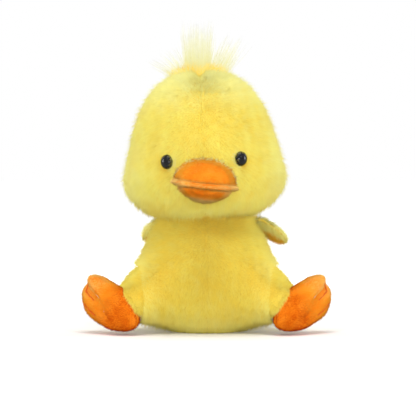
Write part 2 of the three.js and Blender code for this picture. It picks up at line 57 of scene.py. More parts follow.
def colour(red, green, blue):  # screen values from 0 to 255
    def linear(value):
        value /= 255
        return value / 12.92 if value <= 0.04045 else ((value + 0.055) / 1.055) ** 2.4
    return (linear(red), linear(green), linear(blue), 1.0)


def unit(vectors):
    return vectors / np.maximum(np.linalg.norm(vectors, axis=-1, keepdims=True), 1e-12)


def flatTo(vectors, normals):  # the part of each vector that lies along the surface
    return vectors - normals * np.sum(vectors * normals, axis=1, keepdims=True)


def turnedY(points, degrees):
    angle = math.radians(degrees)
    x, y, z = points.T
    return np.stack([
        x * math.cos(angle) + z * math.sin(angle), y, z * math.cos(angle) - x * math.sin(angle),
    ], axis=1)


def levelTurn(degrees):  # a level direction, turned from +X towards the front
    return np.array([math.cos(math.radians(degrees)), -math.sin(math.radians(degrees)), 0.0])


def waves(points, size, seed, count=7):  # a smooth random value from about -1 to 1
    rng = np.random.default_rng(seed)
    total = np.zeros(len(points))
    for _ in range(count):
        way = unit(rng.normal(size=3)) * rng.uniform(0.7, 1.5) * 2 * math.pi / size
        total += np.sin(points @ way + rng.uniform(0, 2 * math.pi))
    return total / math.sqrt(count / 2) / 1.6


def ease(values, low, high):
    t = np.clip((values - low) / (high - low), 0, 1)
    return t * t * (3 - 2 * t)


def everywhere(points, normals=None):
    return np.ones(len(points), bool)


def nothing(points):
    return np.zeros(len(points))


def oneWay(way):  # the same direction for every point
    return lambda points, normals=None: np.tile(way, (len(points), 1))


def linked(name, mesh):
    holder = bpy.data.objects.new(name, mesh)
    bpy.context.scene.collection.objects.link(holder)
    return holder


def addPiece(name, mesh, look, body, slot, nodes=()):
    mesh.name = name
    mesh.polygons.foreach_set("use_smooth", np.ones(len(mesh.polygons), bool))
    mesh.materials.clear()
    mesh.materials.append(look)
    piece = linked(name, mesh)
    if body:  # a piece is attached to its body, if it is given one
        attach(piece, body)
    if nodes:
        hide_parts(*nodes)
    return piece


# Materials

class Wire:  # a node's output that can stand in a sum
    def __init__(self, socket):
        self.socket = socket

    def work(self, operation, first, second):
        look = Look(self.socket.id_data)
        kinds = [value.socket.type for value in (first, second) if isinstance(value, Wire)]
        if "RGBA" in kinds:
            settings = {"data_type": "RGBA", "blend_type": operation}
            first, second = (v if isinstance(v, (Wire, tuple)) else (v, v, v, 1) for v in (first, second))
            first, second = (grey(look, v) for v in (first, second))
            return look.node("ShaderNodeMix", settings, {0: 1.0, 6: first, 7: second}, 2)
        kind = "ShaderNodeVectorMath" if "VECTOR" in kinds else "ShaderNodeMath"
        return look.node(kind, {"operation": operation}, {0: first, 1: second})

    def __add__(self, other):
        return self.work("ADD", self, other)

    def __radd__(self, other):
        return self.work("ADD", other, self)

    def __sub__(self, other):
        return self.work("SUBTRACT", self, other)

    def __rsub__(self, other):
        return self.work("SUBTRACT", other, self)

    def __mul__(self, other):
        return self.work("MULTIPLY", self, other)

    def __rmul__(self, other):
        return self.work("MULTIPLY", other, self)


def grey(look, value):  # a number's wire goes into a colour sum as a grey
    if isinstance(value, Wire) and value.socket.type == "VALUE":
        return look.node("ShaderNodeCombineColor", {}, {0: value, 1: value, 2: value})
    return value


class Look:  # the nodes of one material
    def __init__(self, tree):
        self.tree = tree

    def node(self, kind, settings=None, inputs=None, output=0):
        node = self.tree.nodes.new(kind)
        for key, value in (settings or {}).items():
            if key == "stops":
                ramp = node.color_ramp
                while len(ramp.elements) < len(value):
                    ramp.elements.new(0.5)
                for stop, (place, tint) in zip(ramp.elements, value):
                    stop.position = place
                    stop.color = tint
            else:
                setattr(node, key, value)
        for key, value in (inputs or {}).items():
            socket = node.inputs[key]
            if isinstance(value, Wire):
                self.tree.links.new(value.socket, socket)
            elif socket.type == "VECTOR" and isinstance(value, (int, float)):
                socket.default_value = (value,) * 3
            else:
                socket.default_value = value
        return Wire(node.outputs[output])

    def mix(self, share, first, second):
        settings = {"data_type": "RGBA", "blend_type": "MIX"}
        return self.node("ShaderNodeMix", settings, {0: share, 6: first, 7: second}, 2)

    def noise(self, size, detail=2.0, stretch=(1, 1, 1)):
        place = self.node("ShaderNodeTexCoord", output=3)
        place = self.node("ShaderNodeMapping", {}, {"Vector": place, "Scale": stretch})
        inputs = {"Vector": place, "Scale": 1 / size, "Detail": detail, "Roughness": 0.5}
        return self.node("ShaderNodeTexNoise", {}, inputs)

    def ramp(self, value, *stops):
        return self.node("ShaderNodeValToRGB", {"stops": stops}, {0: value})

    def spread(self, value, low, high, least=0.0, most=1.0):
        return self.node("ShaderNodeMapRange", {}, {"Value": value, 1: low, 2: high, 3: least, 4: most})

    def bump(self, height, strength, distance):
        return self.node("ShaderNodeBump", {}, {"Strength": strength, "Distance": distance, "Height": height})

    def strand(self):  # along a strand, its own tone, and how much of a shade it takes
        held = self.node("ShaderNodeAttribute", {"attribute_name": "strand"}, output=1)
        return [self.node("ShaderNodeSeparateXYZ", {}, {0: held}, part) for part in range(3)]


def newLook(name, build, through=0.0, **shader):
    material = bpy.data.materials.new(name)
    material.use_nodes = True
    nodes, links = material.node_tree.nodes, material.node_tree.links
    principled = nodes["Principled BSDF"]
    values = {**shader, **build(Look(material.node_tree))}
    for key, value in values.items():
        socket = principled.inputs[key.replace("_", " ")]
        if isinstance(value, Wire):
            links.new(value.socket, socket)
        else:
            socket.default_value = value
    if through:  # the share of the light that shines on through a thin fibre
        look = Look(material.node_tree)
        glow = look.node("ShaderNodeBsdfTranslucent", {}, {"Color": values["Base Color"]})
        both = look.node("ShaderNodeMixShader", {}, {0: through, 1: Wire(principled.outputs[0]), 2: glow})
        links.new(both.socket, nodes["Material Output"].inputs[0])
    return material


def pileLook(name, shades, through=0.12):
    # Each strand goes from a deeper root, painted shade down in the pile, to a pale tip, and patches of the
    # pile lie lighter or darker at random.
    # The shade mixes in painted shade (deep) and painted light (pale).
    shades = {part: colour(*tint) for part, tint in shades.items()}

    def build(look):
        along, tone, shade = look.strand()
        base = look.ramp(along, (0.05, shades["root"]), (0.4, shades["middle"]), (1.0, shades["tip"]))
        patches = look.spread(look.noise(24 * mm), 0.38, 0.62, 0.0, 0.5)
        base = look.mix(patches, base, shades["patch"])
        base = look.mix(look.spread(shade, 0.0, 1.0), base, shades["deep"])
        base = look.mix(look.spread(shade, 0.0, -1.0), base, shades["pale"])
        base = base * look.spread(tone, 0.0, 1.0, 0.9, 1.04)
        return {"Base Color": base}
    return newLook(name, build, through, Roughness=0.9, Specular_IOR_Level=0.0)


def backingLook(name, tint, deep):  # knitted backing that the pile grows from
    def build(look):
        knit = look.noise(0.9 * mm, 3.0)
        base = look.mix(look.spread(look.noise(14 * mm), 0.35, 0.65), tint, deep)
        base = base * look.spread(knit, 0.3, 0.7, 0.88, 1.05)
        return {"Base Color": base, "Normal": look.bump(knit, 0.5, 0.4 * mm)}
    return newLook(name, build, Roughness=0.9, Specular_IOR_Level=0.1)


def velourLook(name, tint, deep, pale):
    def build(look):
        nap = look.spread(look.noise(9 * mm, 3.0), 0.3, 0.7)
        grain = look.noise(0.5 * mm)
        base = look.ramp(nap, (0.0, deep), (0.5, tint), (1.0, pale))
        base = base * look.spread(grain, 0.3, 0.7, 0.92, 1.06)
        return {"Base Color": base, "Normal": look.bump(grain, 0.6, 0.3 * mm)}
    return newLook(name, build, Roughness=0.9, Specular_IOR_Level=0.02)


# In these shades the deeper root is painted shade down in the pile, and deep and pale are the painted shade
# and painted light that each part's shade mixes in.
headShades = {
    "root": (240, 214, 88), "middle": (246, 231, 106), "tip": (250, 240, 128),
    "patch": (243, 215, 88), "deep": (242, 186, 50), "pale": (250, 247, 164),
}
bodyShades = {
    "root": (238, 204, 72), "middle": (243, 219, 88), "tip": (247, 230, 108),
    "patch": (240, 209, 78), "deep": (244, 196, 56), "pale": (248, 242, 146),
}
# golden pile for the painted shade on the wing's inner strip
wingShadeTints = {
    "root": (252, 164, 22), "middle": (254, 184, 38), "tip": (255, 204, 66),
    "patch": (250, 166, 28), "deep": (240, 140, 20), "pale": (252, 204, 84),
}
# The tuft's golden root and deep are painted shade at its base.
tuftShades = {
    "root": (252, 212, 52), "middle": (228, 225, 168), "tip": (234, 235, 228),
    "patch": (224, 222, 178), "deep": (248, 212, 48), "pale": (236, 236, 226),
}
orangeShades = {
    "root": (234, 128, 18), "middle": (240, 160, 42), "tip": (246, 180, 68),
    "patch": (236, 146, 30), "deep": (192, 56, 4), "pale": (250, 204, 116),
}
headPile = pileLook("lemon_pile", headShades)
bodyPile = pileLook("yellow_pile", bodyShades)
wingShadePile = pileLook("golden_pile", wingShadeTints)
tuftPile = pileLook("pale_tuft", tuftShades, 0.25)
orangePile = pileLook("orange_nap", orangeShades, 0.05)
backing = backingLook("yellow_backing", colour(232, 206, 86), colour(228, 196, 76))
# golden backing under the wing's painted shade strip
wingShadeBacking = backingLook("golden_backing", colour(246, 160, 30), colour(236, 140, 20))
velour = velourLook("orange_velour", colour(240, 132, 24), colour(230, 112, 16), colour(248, 148, 38))


# Closed forms made from the CAD solids

def edgesOf(faces):
    return np.concatenate([faces[:, [0, 1]], faces[:, [1, 2]], faces[:, [2, 0]]])


def acrossOf(corners):  # normals of triangles, twice their area long
    return np.cross(corners[:, 1] - corners[:, 0], corners[:, 2] - corners[:, 0])


def treeOf(points, faces):
    return BVHTree.FromPolygons(points.tolist(), faces.tolist())


def outerShell(points, faces):  # the largest connected part
    labels, edges = np.arange(len(points)), edgesOf(faces)
    while True:
        before = labels.copy()
        low = np.minimum(labels[edges[:, 0]], labels[edges[:, 1]])
        np.minimum.at(labels, edges[:, 0], low)
        np.minimum.at(labels, edges[:, 1], low)
        labels = labels[labels]
        if np.array_equal(before, labels):
            break
    extent = {label: np.ptp(points[labels == label], axis=0).sum() for label in np.unique(labels)}
    keep = labels == max(extent, key=extent.get)
    place = np.cumsum(keep) - 1
    return points[keep], place[faces[keep[faces[:, 0]]]]


def meshArrays(mesh):
    points = np.empty(len(mesh.vertices) * 3)
    mesh.vertices.foreach_get("co", points)
    mesh.calc_loop_triangles()
    faces = np.empty(len(mesh.loop_triangles) * 3, int)
    mesh.loop_triangles.foreach_get("vertices", faces)
    return points.reshape(-1, 3), faces.reshape(-1, 3)


def nodeArrays(node):
    return meshArrays(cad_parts[node].data)


def normalsOf(points, faces):
    across = acrossOf(points[faces])
    total = np.zeros_like(points)
    for corner in range(3):
        np.add.at(total, faces[:, corner], across)
    return unit(total)


def formOf(points, faces):  # the soft normals are those that the pile's shading follows
    normals = normalsOf(points, faces)
    soft, edges = normals, edgesOf(faces)
    for _ in range(14):
        total = soft * 2
        np.add.at(total, edges[:, 0], soft[edges[:, 1]])
        soft = unit(total)
    return {"points": points, "faces": faces, "normals": normals, "soft": soft}


def finished(holder):  # the mesh that an object's modifiers give, once the object itself is gone
    mesh = bpy.data.meshes.new_from_object(holder.evaluated_get(bpy.context.evaluated_depsgraph_get()))
    source = holder.data
    bpy.data.objects.remove(holder)
    bpy.data.meshes.remove(source)
    return mesh


def fusedForm(name, nodes, voxel, rounds, inset, fill=0):
    # CAD pieces fused into one closed form, with their facets eased away, then drawn in.
    # Hollows narrower than twice the fill are bridged, as pile does.
    points, faces = [], []
    for node in nodes:
        nodePoints, nodeFaces = nodeArrays(node)
        faces.append(nodeFaces + sum(len(p) for p in points))
        points.append(nodePoints)
    mesh = bpy.data.meshes.new(name)
    mesh.from_pydata(np.concatenate(points).tolist(), [], np.concatenate(faces).tolist())
    holder = linked(name, mesh)
    for shift in (0, fill, -fill) if fill else (0,):
        if shift:
            move = holder.modifiers.new("move", "DISPLACE")
            move.strength = shift * mm
            move.mid_level = 0
        if shift >= 0:
            fuse = holder.modifiers.new("fuse", "REMESH")
            fuse.mode = "VOXEL"
            fuse.voxel_size = voxel * mm
    smooth = holder.modifiers.new("ease", "SMOOTH")
    smooth.factor = 0.5
    smooth.iterations = rounds
    points, faces = outerShell(*meshArrays(finished(holder)))
    return formOf(points - normalsOf(points, faces) * inset * mm, faces)


class Surfaces:  # how far points lie from the surfaces of some CAD nodes
    def __init__(self, *nodes):
        self.trees = [treeOf(*nodeArrays(node)) for node in nodes]

    def gaps(self, points):
        found = [[tree.find_nearest(point)[3] for point in points.tolist()] for tree in self.trees]
        return np.array(found).reshape(len(self.trees), -1) / mm

    def gap(self, points):
        return self.gaps(points).min(axis=0)

    def nearest(self, points):
        return self.gaps(points).argmin(axis=0)


def depthIn(form, points):  # how far points lie outside a form, or inside it as a negative number
    tree = treeOf(form["points"], form["faces"])
    found = np.empty(len(points))
    for i, point in enumerate(points.tolist()):
        crownNotchShade, normal, _, gap = tree.find_nearest(point)
        found[i] = math.copysign(gap, (Vector(point) - crownNotchShade).dot(normal))
    return found / mm


def skinPiece(name, form, body, nodes, keep, look, slot="fur", thickness=1.2):
    # One panel of a cover, as a closed thin sheet.
    faces = form["faces"][keep(form["points"][form["faces"]].mean(axis=1))]
    used, place = np.unique(faces, return_inverse=True)
    mesh = bpy.data.meshes.new(name)
    mesh.from_pydata(form["points"][used].tolist(), [], place.reshape(-1, 3).tolist())
    holder = linked(name, mesh)
    thick = holder.modifiers.new("thick", "SOLIDIFY")
    thick.thickness = thickness * mm
    thick.offset = -1
    return addPiece(name, finished(holder), look, body, slot, nodes)


# Fur

def scatterRoots(form, keep, density, rng):
    corners = form["points"][form["faces"]]
    area = np.linalg.norm(acrossOf(corners), axis=1) / 2 / mm ** 2
    which = np.repeat(np.arange(len(area)), np.floor(area * density + rng.random(len(area))).astype(int))
    a, b = rng.random((2, len(which)))
    over = a + b > 1
    a[over], b[over] = 1 - a[over], 1 - b[over]
    shares = np.stack([1 - a - b, a, b], axis=1)[:, :, None]
    places = (corners[which] * shares).sum(axis=1)
    normals = unit((form["normals"][form["faces"][which]] * shares).sum(axis=1))
    soft = unit((form["soft"][form["faces"][which]] * shares).sum(axis=1))
    kept = keep(places, normals)
    return places[kept], normals[kept], soft[kept]


def clumpOf(places, spacing, rng):  # the nearest of some strands that stand for their clump
    leaders = rng.choice(len(places), max(1, int(len(places) / spacing)), replace=False)
    tree = KDTree(len(leaders))
    for i, leader in enumerate(leaders):
        tree.insert(places[leader], i)
    tree.balance()
    return leaders[[tree.find(place)[1] for place in places]]


def letLightIn(piece):  # light sinks into real pile, and the skin under it casts the shadows
    piece.visible_shadow = False


def growFur(name, form, body, fur, look, keep, comb, trim=None, stand=nothing, shade=nothing, slot="fur"):
    # keep picks the roots, comb gives the direction, trim the share of the length, stand how upright the
    # pile is (below zero lies it flat), and shade how deep its colour is as painted shade (below zero makes it
    # pale, painted light).
    rng = np.random.default_rng(fur["seed"])
    places, normals, soft = scatterRoots(form, keep, fur["density"], rng)
    count, bends = len(places), fur["bends"]
    heading = unit(flatTo(comb(places, normals), normals))
    level = np.cross(normals, heading)
    sway = fur["sway"] * waves(places, fur["swaySize"] * mm, fur["seed"] + 2)
    sway = sway + fur["jitter"] * rng.normal(size=count)
    heading = heading * np.cos(sway)[:, None] + level * np.sin(sway)[:, None]
    length = fur["length"] * mm * (1 + fur["uneven"] * rng.uniform(-1, 1, count))
    length *= np.where(rng.random(count) < fur["longShare"], fur["longer"], 1.0)
    if trim is not None:
        length *= trim(places)
    leans = np.radians(fur["leanDegrees"])
    lift = fur["lift"] * rng.normal(size=count) + fur["ripple"] * waves(places, 9 * mm, fur["seed"] + 4)
    upright = stand(places)
    line = [places - normals * 0.5 * mm]
    for bend in range(bends):
        share = (bend + 0.5) / bends
        lean = leans[0] + (leans[1] - leans[0]) * share + lift * (1 - 0.5 * share)
        lean = lean + np.abs(upright) * (np.where(upright < 0, 1.45, 0.2) - lean)
        way = normals * np.cos(lean)[:, None] + heading * np.sin(lean)[:, None]
        line.append(line[-1] + way * (length / bends)[:, None])
    line = np.stack(line, axis=1)
    leader = clumpOf(places, fur["clump"], rng)
    pull = (np.linspace(0, 1, bends + 1) ** 1.7)[None, :, None] * fur["gather"]
    line = line + (line[leader] + (places - places[leader])[:, None, :] * 0.25 - line) * pull
    line[:, :, 2] = np.maximum(line[:, :, 2], 0.3 * mm)
    way = unit(line[:, -1] - line[:, 0])
    side = unit(np.cross(way, normals))
    turn = 0.5 * rng.normal(size=count)[:, None]
    side = side * np.cos(turn) + np.cross(way, side) * np.sin(turn)
    width = fur["width"] * mm / 2 * rng.uniform(0.75, 1.25, count)
    mottle = 0.6 * waves(places, 9 * mm, fur["seed"] + 6) + 0.4 * waves(places, 4 * mm, fur["seed"] + 7)
    mesh = strandMesh(name, line, side, width, rng, leader, shade(places) + fur["mottle"] * mottle, soft)
    piece = addPiece(name, mesh, look, body, slot)
    letLightIn(piece)
    print(name, count, "strands")
    return piece


def strandMesh(name, line, side, width, rng, leader, shade, normals=None):
    # A strand is a thin three-sided fibre with a pointed end.
    count, rings = len(line), line.shape[1] - 1
    per = 3 * rings + 1
    other = np.cross(unit(line[:, -1] - line[:, 0]), side)
    points = np.empty((count, per, 3))
    totals, pattern, spots = [], [], []
    for ring in range(rings):
        reach = (width * (1 - 0.45 * (ring / rings) ** 2))[:, None]
        for face in range(3):
            turn = face * 2 * math.pi / 3
            here, beside = 3 * ring + face, 3 * ring + (face + 1) % 3
            points[:, here] = line[:, ring] + (side * math.cos(turn) + other * math.sin(turn)) * reach
            low, high = 0.1 + 0.8 * ring / rings, 0.1 + 0.8 * (ring + 1) / rings
            left, right = (face + 0.1) / 3, (face + 0.9) / 3
            if ring < rings - 1:
                pattern += [here, beside, beside + 3, here + 3]
                spots += [(left, low), (right, low), (right, high), (left, high)]
                totals.append(4)
            else:
                pattern += [here, beside, per - 1]
                spots += [(left, low), (right, low), ((left + right) / 2, high)]
                totals.append(3)
    points[:, -1] = line[:, -1]
    corners = (np.arange(count)[:, None] * per + np.array(pattern)).ravel()
    totals = np.tile(totals, count)
    mesh = bpy.data.meshes.new(name)
    mesh.vertices.add(count * per)
    mesh.vertices.foreach_set("co", points.ravel())
    mesh.loops.add(len(corners))
    mesh.loops.foreach_set("vertex_index", corners)
    mesh.polygons.add(len(totals))
    mesh.polygons.foreach_set("loop_start", np.concatenate([[0], np.cumsum(totals)[:-1]]))
    mesh.polygons.foreach_set("loop_total", totals)
    mesh.update(calc_edges=True)

    along = np.append(np.repeat(np.arange(rings), 3), rings) / rings
    tone = 0.6 * rng.random(count) + 0.4 * rng.random(count)[leader]
    values = np.stack([np.tile(along, count), np.repeat(tone, per), np.repeat(shade, per)], axis=1)
    mesh.attributes.new("strand", "FLOAT_VECTOR", "POINT").data.foreach_set("vector", values.ravel())

    columns = math.ceil(math.sqrt(count))  # each strand has a cell of its own on the map
    cell = np.stack([np.arange(count) % columns, np.arange(count) // columns], axis=1)[:, None, :]
    places = ((cell + np.array(spots)) / columns).reshape(-1, 2)
    mesh.uv_layers.new(name="OFBake").data.foreach_set("uv", places.ravel())
    if normals is not None:  # the pile is shaded as the surface that it covers
        mesh.polygons.foreach_set("use_smooth", np.ones(len(totals), bool))
        mesh.normals_split_custom_set_from_vertices(np.repeat(normals, per, axis=0).tolist())
    return mesh


longPile = {
    "density": 4.6, "length": 6.2, "width": 0.26, "bends": 2, "leanDegrees": (14, 48), "sway": 0.14,
    "swaySize": 45, "jitter": 0.34, "uneven": 0.36, "longShare": 0.14, "longer": 1.4, "lift": 0.14,
    "ripple": 0.1, "clump": 9, "gather": 0.12, "mottle": 0.16, "seed": 10,
}
shortNap = {
    **longPile, "density": 5.0, "length": 1.5, "width": 0.2, "leanDegrees": (25, 55), "sway": 0.6,
    "swaySize": 12, "jitter": 0.45, "uneven": 0.4, "clump": 6, "gather": 0.1, "mottle": 0.12,
}


# Head

neck = {"pivot": np.array([0, 0, 86]) * mm, "radius": 28}
head = {
    "rollDegrees": 2.5, "seamBack": 4, "forward": 4, "faceDepth": 54, "top": 112, "voxel": 2.5, "inset": 3.2,
    "eyeDegrees": 42, "eyeWide": 4.3, "eyeHigh": 5.9, "seatDepth": 2,
}
bill = {"tiltDegrees": 9, "mouthHeight": 28, "halfWidth": 23.25, "rise": 18.5, "drop": 15}


def headPlace(points):  # in the head's own frame, in millimetres from the middle of the neck
    return turnedY(points - neck["pivot"], head["rollDegrees"]) / mm


def billPlace(points):
    own = headPlace(points) - np.array([0, -head["forward"] - head["faceDepth"], bill["mouthHeight"]])
    return turnedY(own, -bill["tiltDegrees"])


def billShare(points, grow):  # under 1 inside the outline of the bill, seen from the front
    own = billPlace(points)
    above = own[:, 2] > 0
    wide = (own[:, 0] / (bill["halfWidth"] + grow)) ** 2 * np.where(above, 1, 1.5)
    return wide + (own[:, 2] / np.where(above, bill["rise"] + grow, bill["drop"] + grow)) ** 2


def findEyes():
    found = {}
    for end, side in sides.items():
        turn = math.radians(head["eyeDegrees"])
        look = turnedY(np.array([[side * math.sin(turn), -math.cos(turn), 0.0]]), -head["rollDegrees"])[0]
        corners, _ = nodeArrays(f"eye_{end}")
        tip = corners[np.argmax(corners @ look)]
        found[end] = {"seat": tip - look * head["seatDepth"] * mm, "out": np.cross(up, look) * side}
    return found


eyes = findEyes()


def eyeGap(points):  # distance to the nearer eye's middle
    return np.minimum(*[np.linalg.norm(points - eye["seat"], axis=1) for eye in eyes.values()]) / mm


def onEye(points):
    bare = np.zeros(len(points), bool)
    for eye in eyes.values():
        away = (points - eye["seat"]) / mm
        across = away @ eye["out"]
        alongHigh = np.sum(away ** 2, axis=1) - across ** 2
        bare |= (across / head["eyeWide"]) ** 2 + alongHigh / head["eyeHigh"] ** 2 < 1
    return bare


def headKeep(points, normals):
    own = headPlace(points)
    clear = np.linalg.norm(own, axis=1) > neck["radius"] + 3
    return clear & ~((own[:, 1] < 0) & (billShare(points, -1.5) < 1)) & ~onEye(points)


def headComb(points, normals):
    own = headPlace(points)
    way = -up + 0.35 * own * np.array([1, 1, 0]) / 60
    for eye in eyes.values():  # over the eye from its sides, and away from it above and below
        away = unit(points - eye["seat"])
        near = 1 - ease(np.linalg.norm(points - eye["seat"], axis=1) / mm, 5, 10)
        way = way + away * (near * (2.4 - 4.6 * (away @ eye["out"]) ** 2))[:, None]
    return way


def headTrim(points):
    own = headPlace(points)
    notch = np.exp(-(own[:, 0] / 2.5) ** 2) * ((own[:, 2] > 100) | (own[:, 2] < 12))
    return (0.5 + 0.5 * ease(eyeGap(points), 5, 10)) * (1 - 0.4 * notch)


def headStand(points):  # hangs down round the neck and reaches out over the bill
    nearNeck = 1 - ease(np.linalg.norm(headPlace(points), axis=1), neck["radius"] + 4, neck["radius"] + 14)
    nearBill = 0.45 * (1 - ease(billShare(points, 0), 1.0, 1.7)) * (headPlace(points)[:, 1] < -30)
    upright = np.maximum(nearNeck, nearBill)
    for eye in eyes.values():  # upright between the eye and the bill
        away = points - eye["seat"]
        near = 1 - ease(np.linalg.norm(away, axis=1) / mm, 6, 10)
        upright = np.maximum(upright, near * np.clip(-(unit(away) @ eye["out"]) * 1.5, 0, 1))
    return upright


def headShade(points):
    # Painted shade in the crown's notch and on one side of each eye; painted light under the chin, on the
    # other side of each eye, on the crown and on the sides.
    own = headPlace(points)
    crownNotchShade = np.exp(-(own[:, 0] / 3.5) ** 2 - ((own[:, 2] - head["top"] + 2) / 5) ** 2) * (own[:, 1] < 5)
    under = -0.3 * (1 - ease(own[:, 2], 0, 16))
    rim = np.zeros(len(points))
    for eye in eyes.values():
        away = points - eye["seat"]
        near = 1 - ease(np.linalg.norm(away, axis=1) / mm, 5.5, 9)
        rim = rim + near * np.where(away @ eye["out"] > 0, 0.9, -0.9)
    pale = -0.8 * ease(own[:, 2], 70, 108) - 0.5 * ease(np.abs(own[:, 0]), 34, 60)
    return np.clip(crownNotchShade + under + rim + pale * (1 - crownNotchShade), -1, 1)


def notched(form):  # the middle seam draws in at the crown and the chin
    own = headPlace(form["points"])
    depth = (2.2 * ease(own[:, 2], 94, 106) + 0.3) * np.exp(-(own[:, 0] / 2.2) ** 2) * (own[:, 1] < 6)
    return {**form, "points": form["points"] - form["normals"] * depth[:, None] * mm}


def makeHead():
    panels = [f"{start}_panel_{end}" for start in ("cheek", "head_back") for end in sides]
    form = notched(fusedForm("head_form", [*panels, "head_stuffing"], head["voxel"], 8, head["inset"]))
    for end, side in sides.items():
        for start, isFront in (("cheek", True), ("head_back", False)):
            def inPanel(points, normals=None):
                own = headPlace(points)
                return (own[:, 0] * side > 0) & ((own[:, 1] < head["seamBack"]) == isFront)
            skinPiece(f"{start}_skin_{end}", form, "head", [f"{start}_panel_{end}"], inPanel, backing)
            fur = {**longPile, "seed": 60 + 40 * side + 7 * isFront}
            growFur(f"{start}_fur_{end}", form, "head", fur, headPile,
                    lambda p, n: headKeep(p, n) & inPanel(p), headComb, headTrim, headStand, headShade)
    return form


headForm = makeHead()
print("head done")


# Body

body = {
    "seamBack": 8, "lowest": 2.0, "fill": 30, "inset": 2.2, "voxel": 2.5,
    "seatRise": 9, "seatFrom": 12, "seatTo": 54, "legSeamSide": 45, "legSeamTop": 52, "legRoot": (38.1, -22.9),
    "legTurnDegrees": 31, "legReach": 12, "legGap": 3.2, "neckGap": 1.6, "collarFrom": 77, "collarTo": 88,
}
coverNodes = [
    *(f"{start}_panel_{end}" for start in ("belly", "back") for end in sides), "base_panel", "body_stuffing",
    "pellet_bag", "neck_ball", *(f"leg_{part}_{end}" for part in ("cover", "stuffing") for end in sides),
]
hull = fusedForm("body_hull", coverNodes, body["voxel"], 14, body["inset"], body["fill"])
legSurfaces = Surfaces("leg_cover_left", "leg_cover_right")
neckSurface = Surfaces("neck_ball")


def seatLift(points):
    return body["seatRise"] * ease(np.abs(points[:, 0]) / mm, body["seatFrom"], body["seatTo"])


def tucked(form):  # the seat and the thighs curve up from the floor towards the feet
    points = form["points"].copy()
    points[:, 2] += seatLift(points) * mm * (1 - ease(points[:, 2] / mm, 0, 26))
    return formOf(points, form["faces"])


footNodes = {end: [f"foot_sole_{end}", f"foot_back_{end}", f"foot_stuffing_{end}"] for end in sides}
footSolids = [fusedForm(f"foot_solid_{end}", nodes, 1.5, 2, 0) for end, nodes in footNodes.items()]


def footDepth(points):  # how far outside the nearer foot
    found = np.full(len(points), 50.0)
    near = (points[:, 2] < 70 * mm) & (np.abs(points[:, 0]) > 30 * mm)
    found[near] = np.minimum(*[depthIn(solid, points[near]) for solid in footSolids])
    return found


wholeNodes = [*coverNodes, *footNodes["left"], *footNodes["right"]]
core = tucked(fusedForm("body_core", wholeNodes, body["voxel"], 6, body["inset"] + 0.3))


def drawnIn(form):  # near the feet the cover lies close on the leg, so that the foot stands in front of it
    tree = treeOf(core["points"], core["faces"])
    points = form["points"].copy()
    near = 1 - ease(footDepth(points), 3, 14)
    for i in np.flatnonzero(near):
        points[i] += (np.array(tree.find_nearest(points[i])[0]) - points[i]) * near[i]
    edges = edgesOf(form["faces"])
    beside = np.bincount(edges[:, 0], minlength=len(points))[:, None]
    for _ in range(16):  # eased again where it was drawn in
        total = np.zeros_like(points)
        np.add.at(total, edges[:, 0], points[edges[:, 1]])
        points = np.where(near[:, None] > 0, (points + total / beside) / 2, points)
    return formOf(points, form["faces"])


hull = drawnIn(tucked(hull))


def onBody(points, more=0):  # where the body's own fabric shows, or more of it
    wide = np.abs(points[:, 0]) / mm - more
    level = np.stack([wide, points[:, 1] / mm], axis=1)
    outward = (level - body["legRoot"]) @ levelTurn(body["legTurnDegrees"])[:2]
    leg = (legSurfaces.gap(points) < body["legGap"]) | (outward > body["legReach"])
    leg &= (wide > body["legSeamSide"]) & (points[:, 2] < (body["legSeamTop"] - more) * mm)
    return ~leg & (neckSurface.gap(points) > body["neckGap"])


def bodyComb(points, normals):
    return -up + 3 * points * np.array([1, 1, 0]) * (1 + 3 * (1 - ease(points[:, 2] / mm, 2, 10)))[:, None]


def bodyStand(points):  # upright round the neck
    return ease(points[:, 2] / mm, body["collarFrom"], body["collarTo"])


def bodyTrim(points):
    return 1 + 0.5 * bodyStand(points)


def bodyShade(points):
    # Painted shade on the chest under the head; painted light on the sides and low down.
    x, y, z = points.T / mm
    under = 0.25 * ease(z, 60, 88) * (y < 0) * (1 - ease(np.abs(x), 20, 40))
    return under - 0.55 * ease(np.abs(x), 28, 56) - 0.5 * (1 - ease(z, 0, 28))


def makeBody():
    for end, side in sides.items():
        for start, isFront in (("belly", True), ("back", False)):
            def inPanel(points, normals=None):
                above = points[:, 2] > body["lowest"] * mm
                return above & (points[:, 0] * side > 0) & ((points[:, 1] < body["seamBack"] * mm) == isFront)

            def covered(points, normals=None, offFoot=0.5):
                return inPanel(points) & onBody(points, 2) & (footDepth(points) > offFoot)
            skinPiece(f"{start}_skin_{end}", hull, "body", [f"{start}_panel_{end}"],
                      lambda points: covered(points, offFoot=-2), backing)
            fur = {**longPile, "seed": 260 + 40 * side + 7 * isFront}
            growFur(f"{start}_fur_{end}", hull, "body", fur, bodyPile, covered, bodyComb, bodyTrim, bodyStand,
                    bodyShade)
    hem = {**longPile, "length": 5.0, "density": 2.5, "clump": 16, "gather": 0.4, "seed": 351}
    hem["leanDegrees"] = (40, 70)

    def atHem(points, normals):
        low = points[:, 2] / mm - seatLift(points) < 7
        return low & onBody(points) & (normals[:, 2] > -0.85) & (footDepth(points) > 1)
    growFur("hem_fur", hull, "body", hem, bodyPile, atHem, bodyComb, shade=bodyShade)
    base = tucked(fusedForm("base_form", ["base_panel"], 1.5, 4, 0.5))
    skinPiece("base_skin", base, "body", ["base_panel"], everywhere, backing, "fur", 1.0)


makeBody()
print("body done")


# Legs and feet

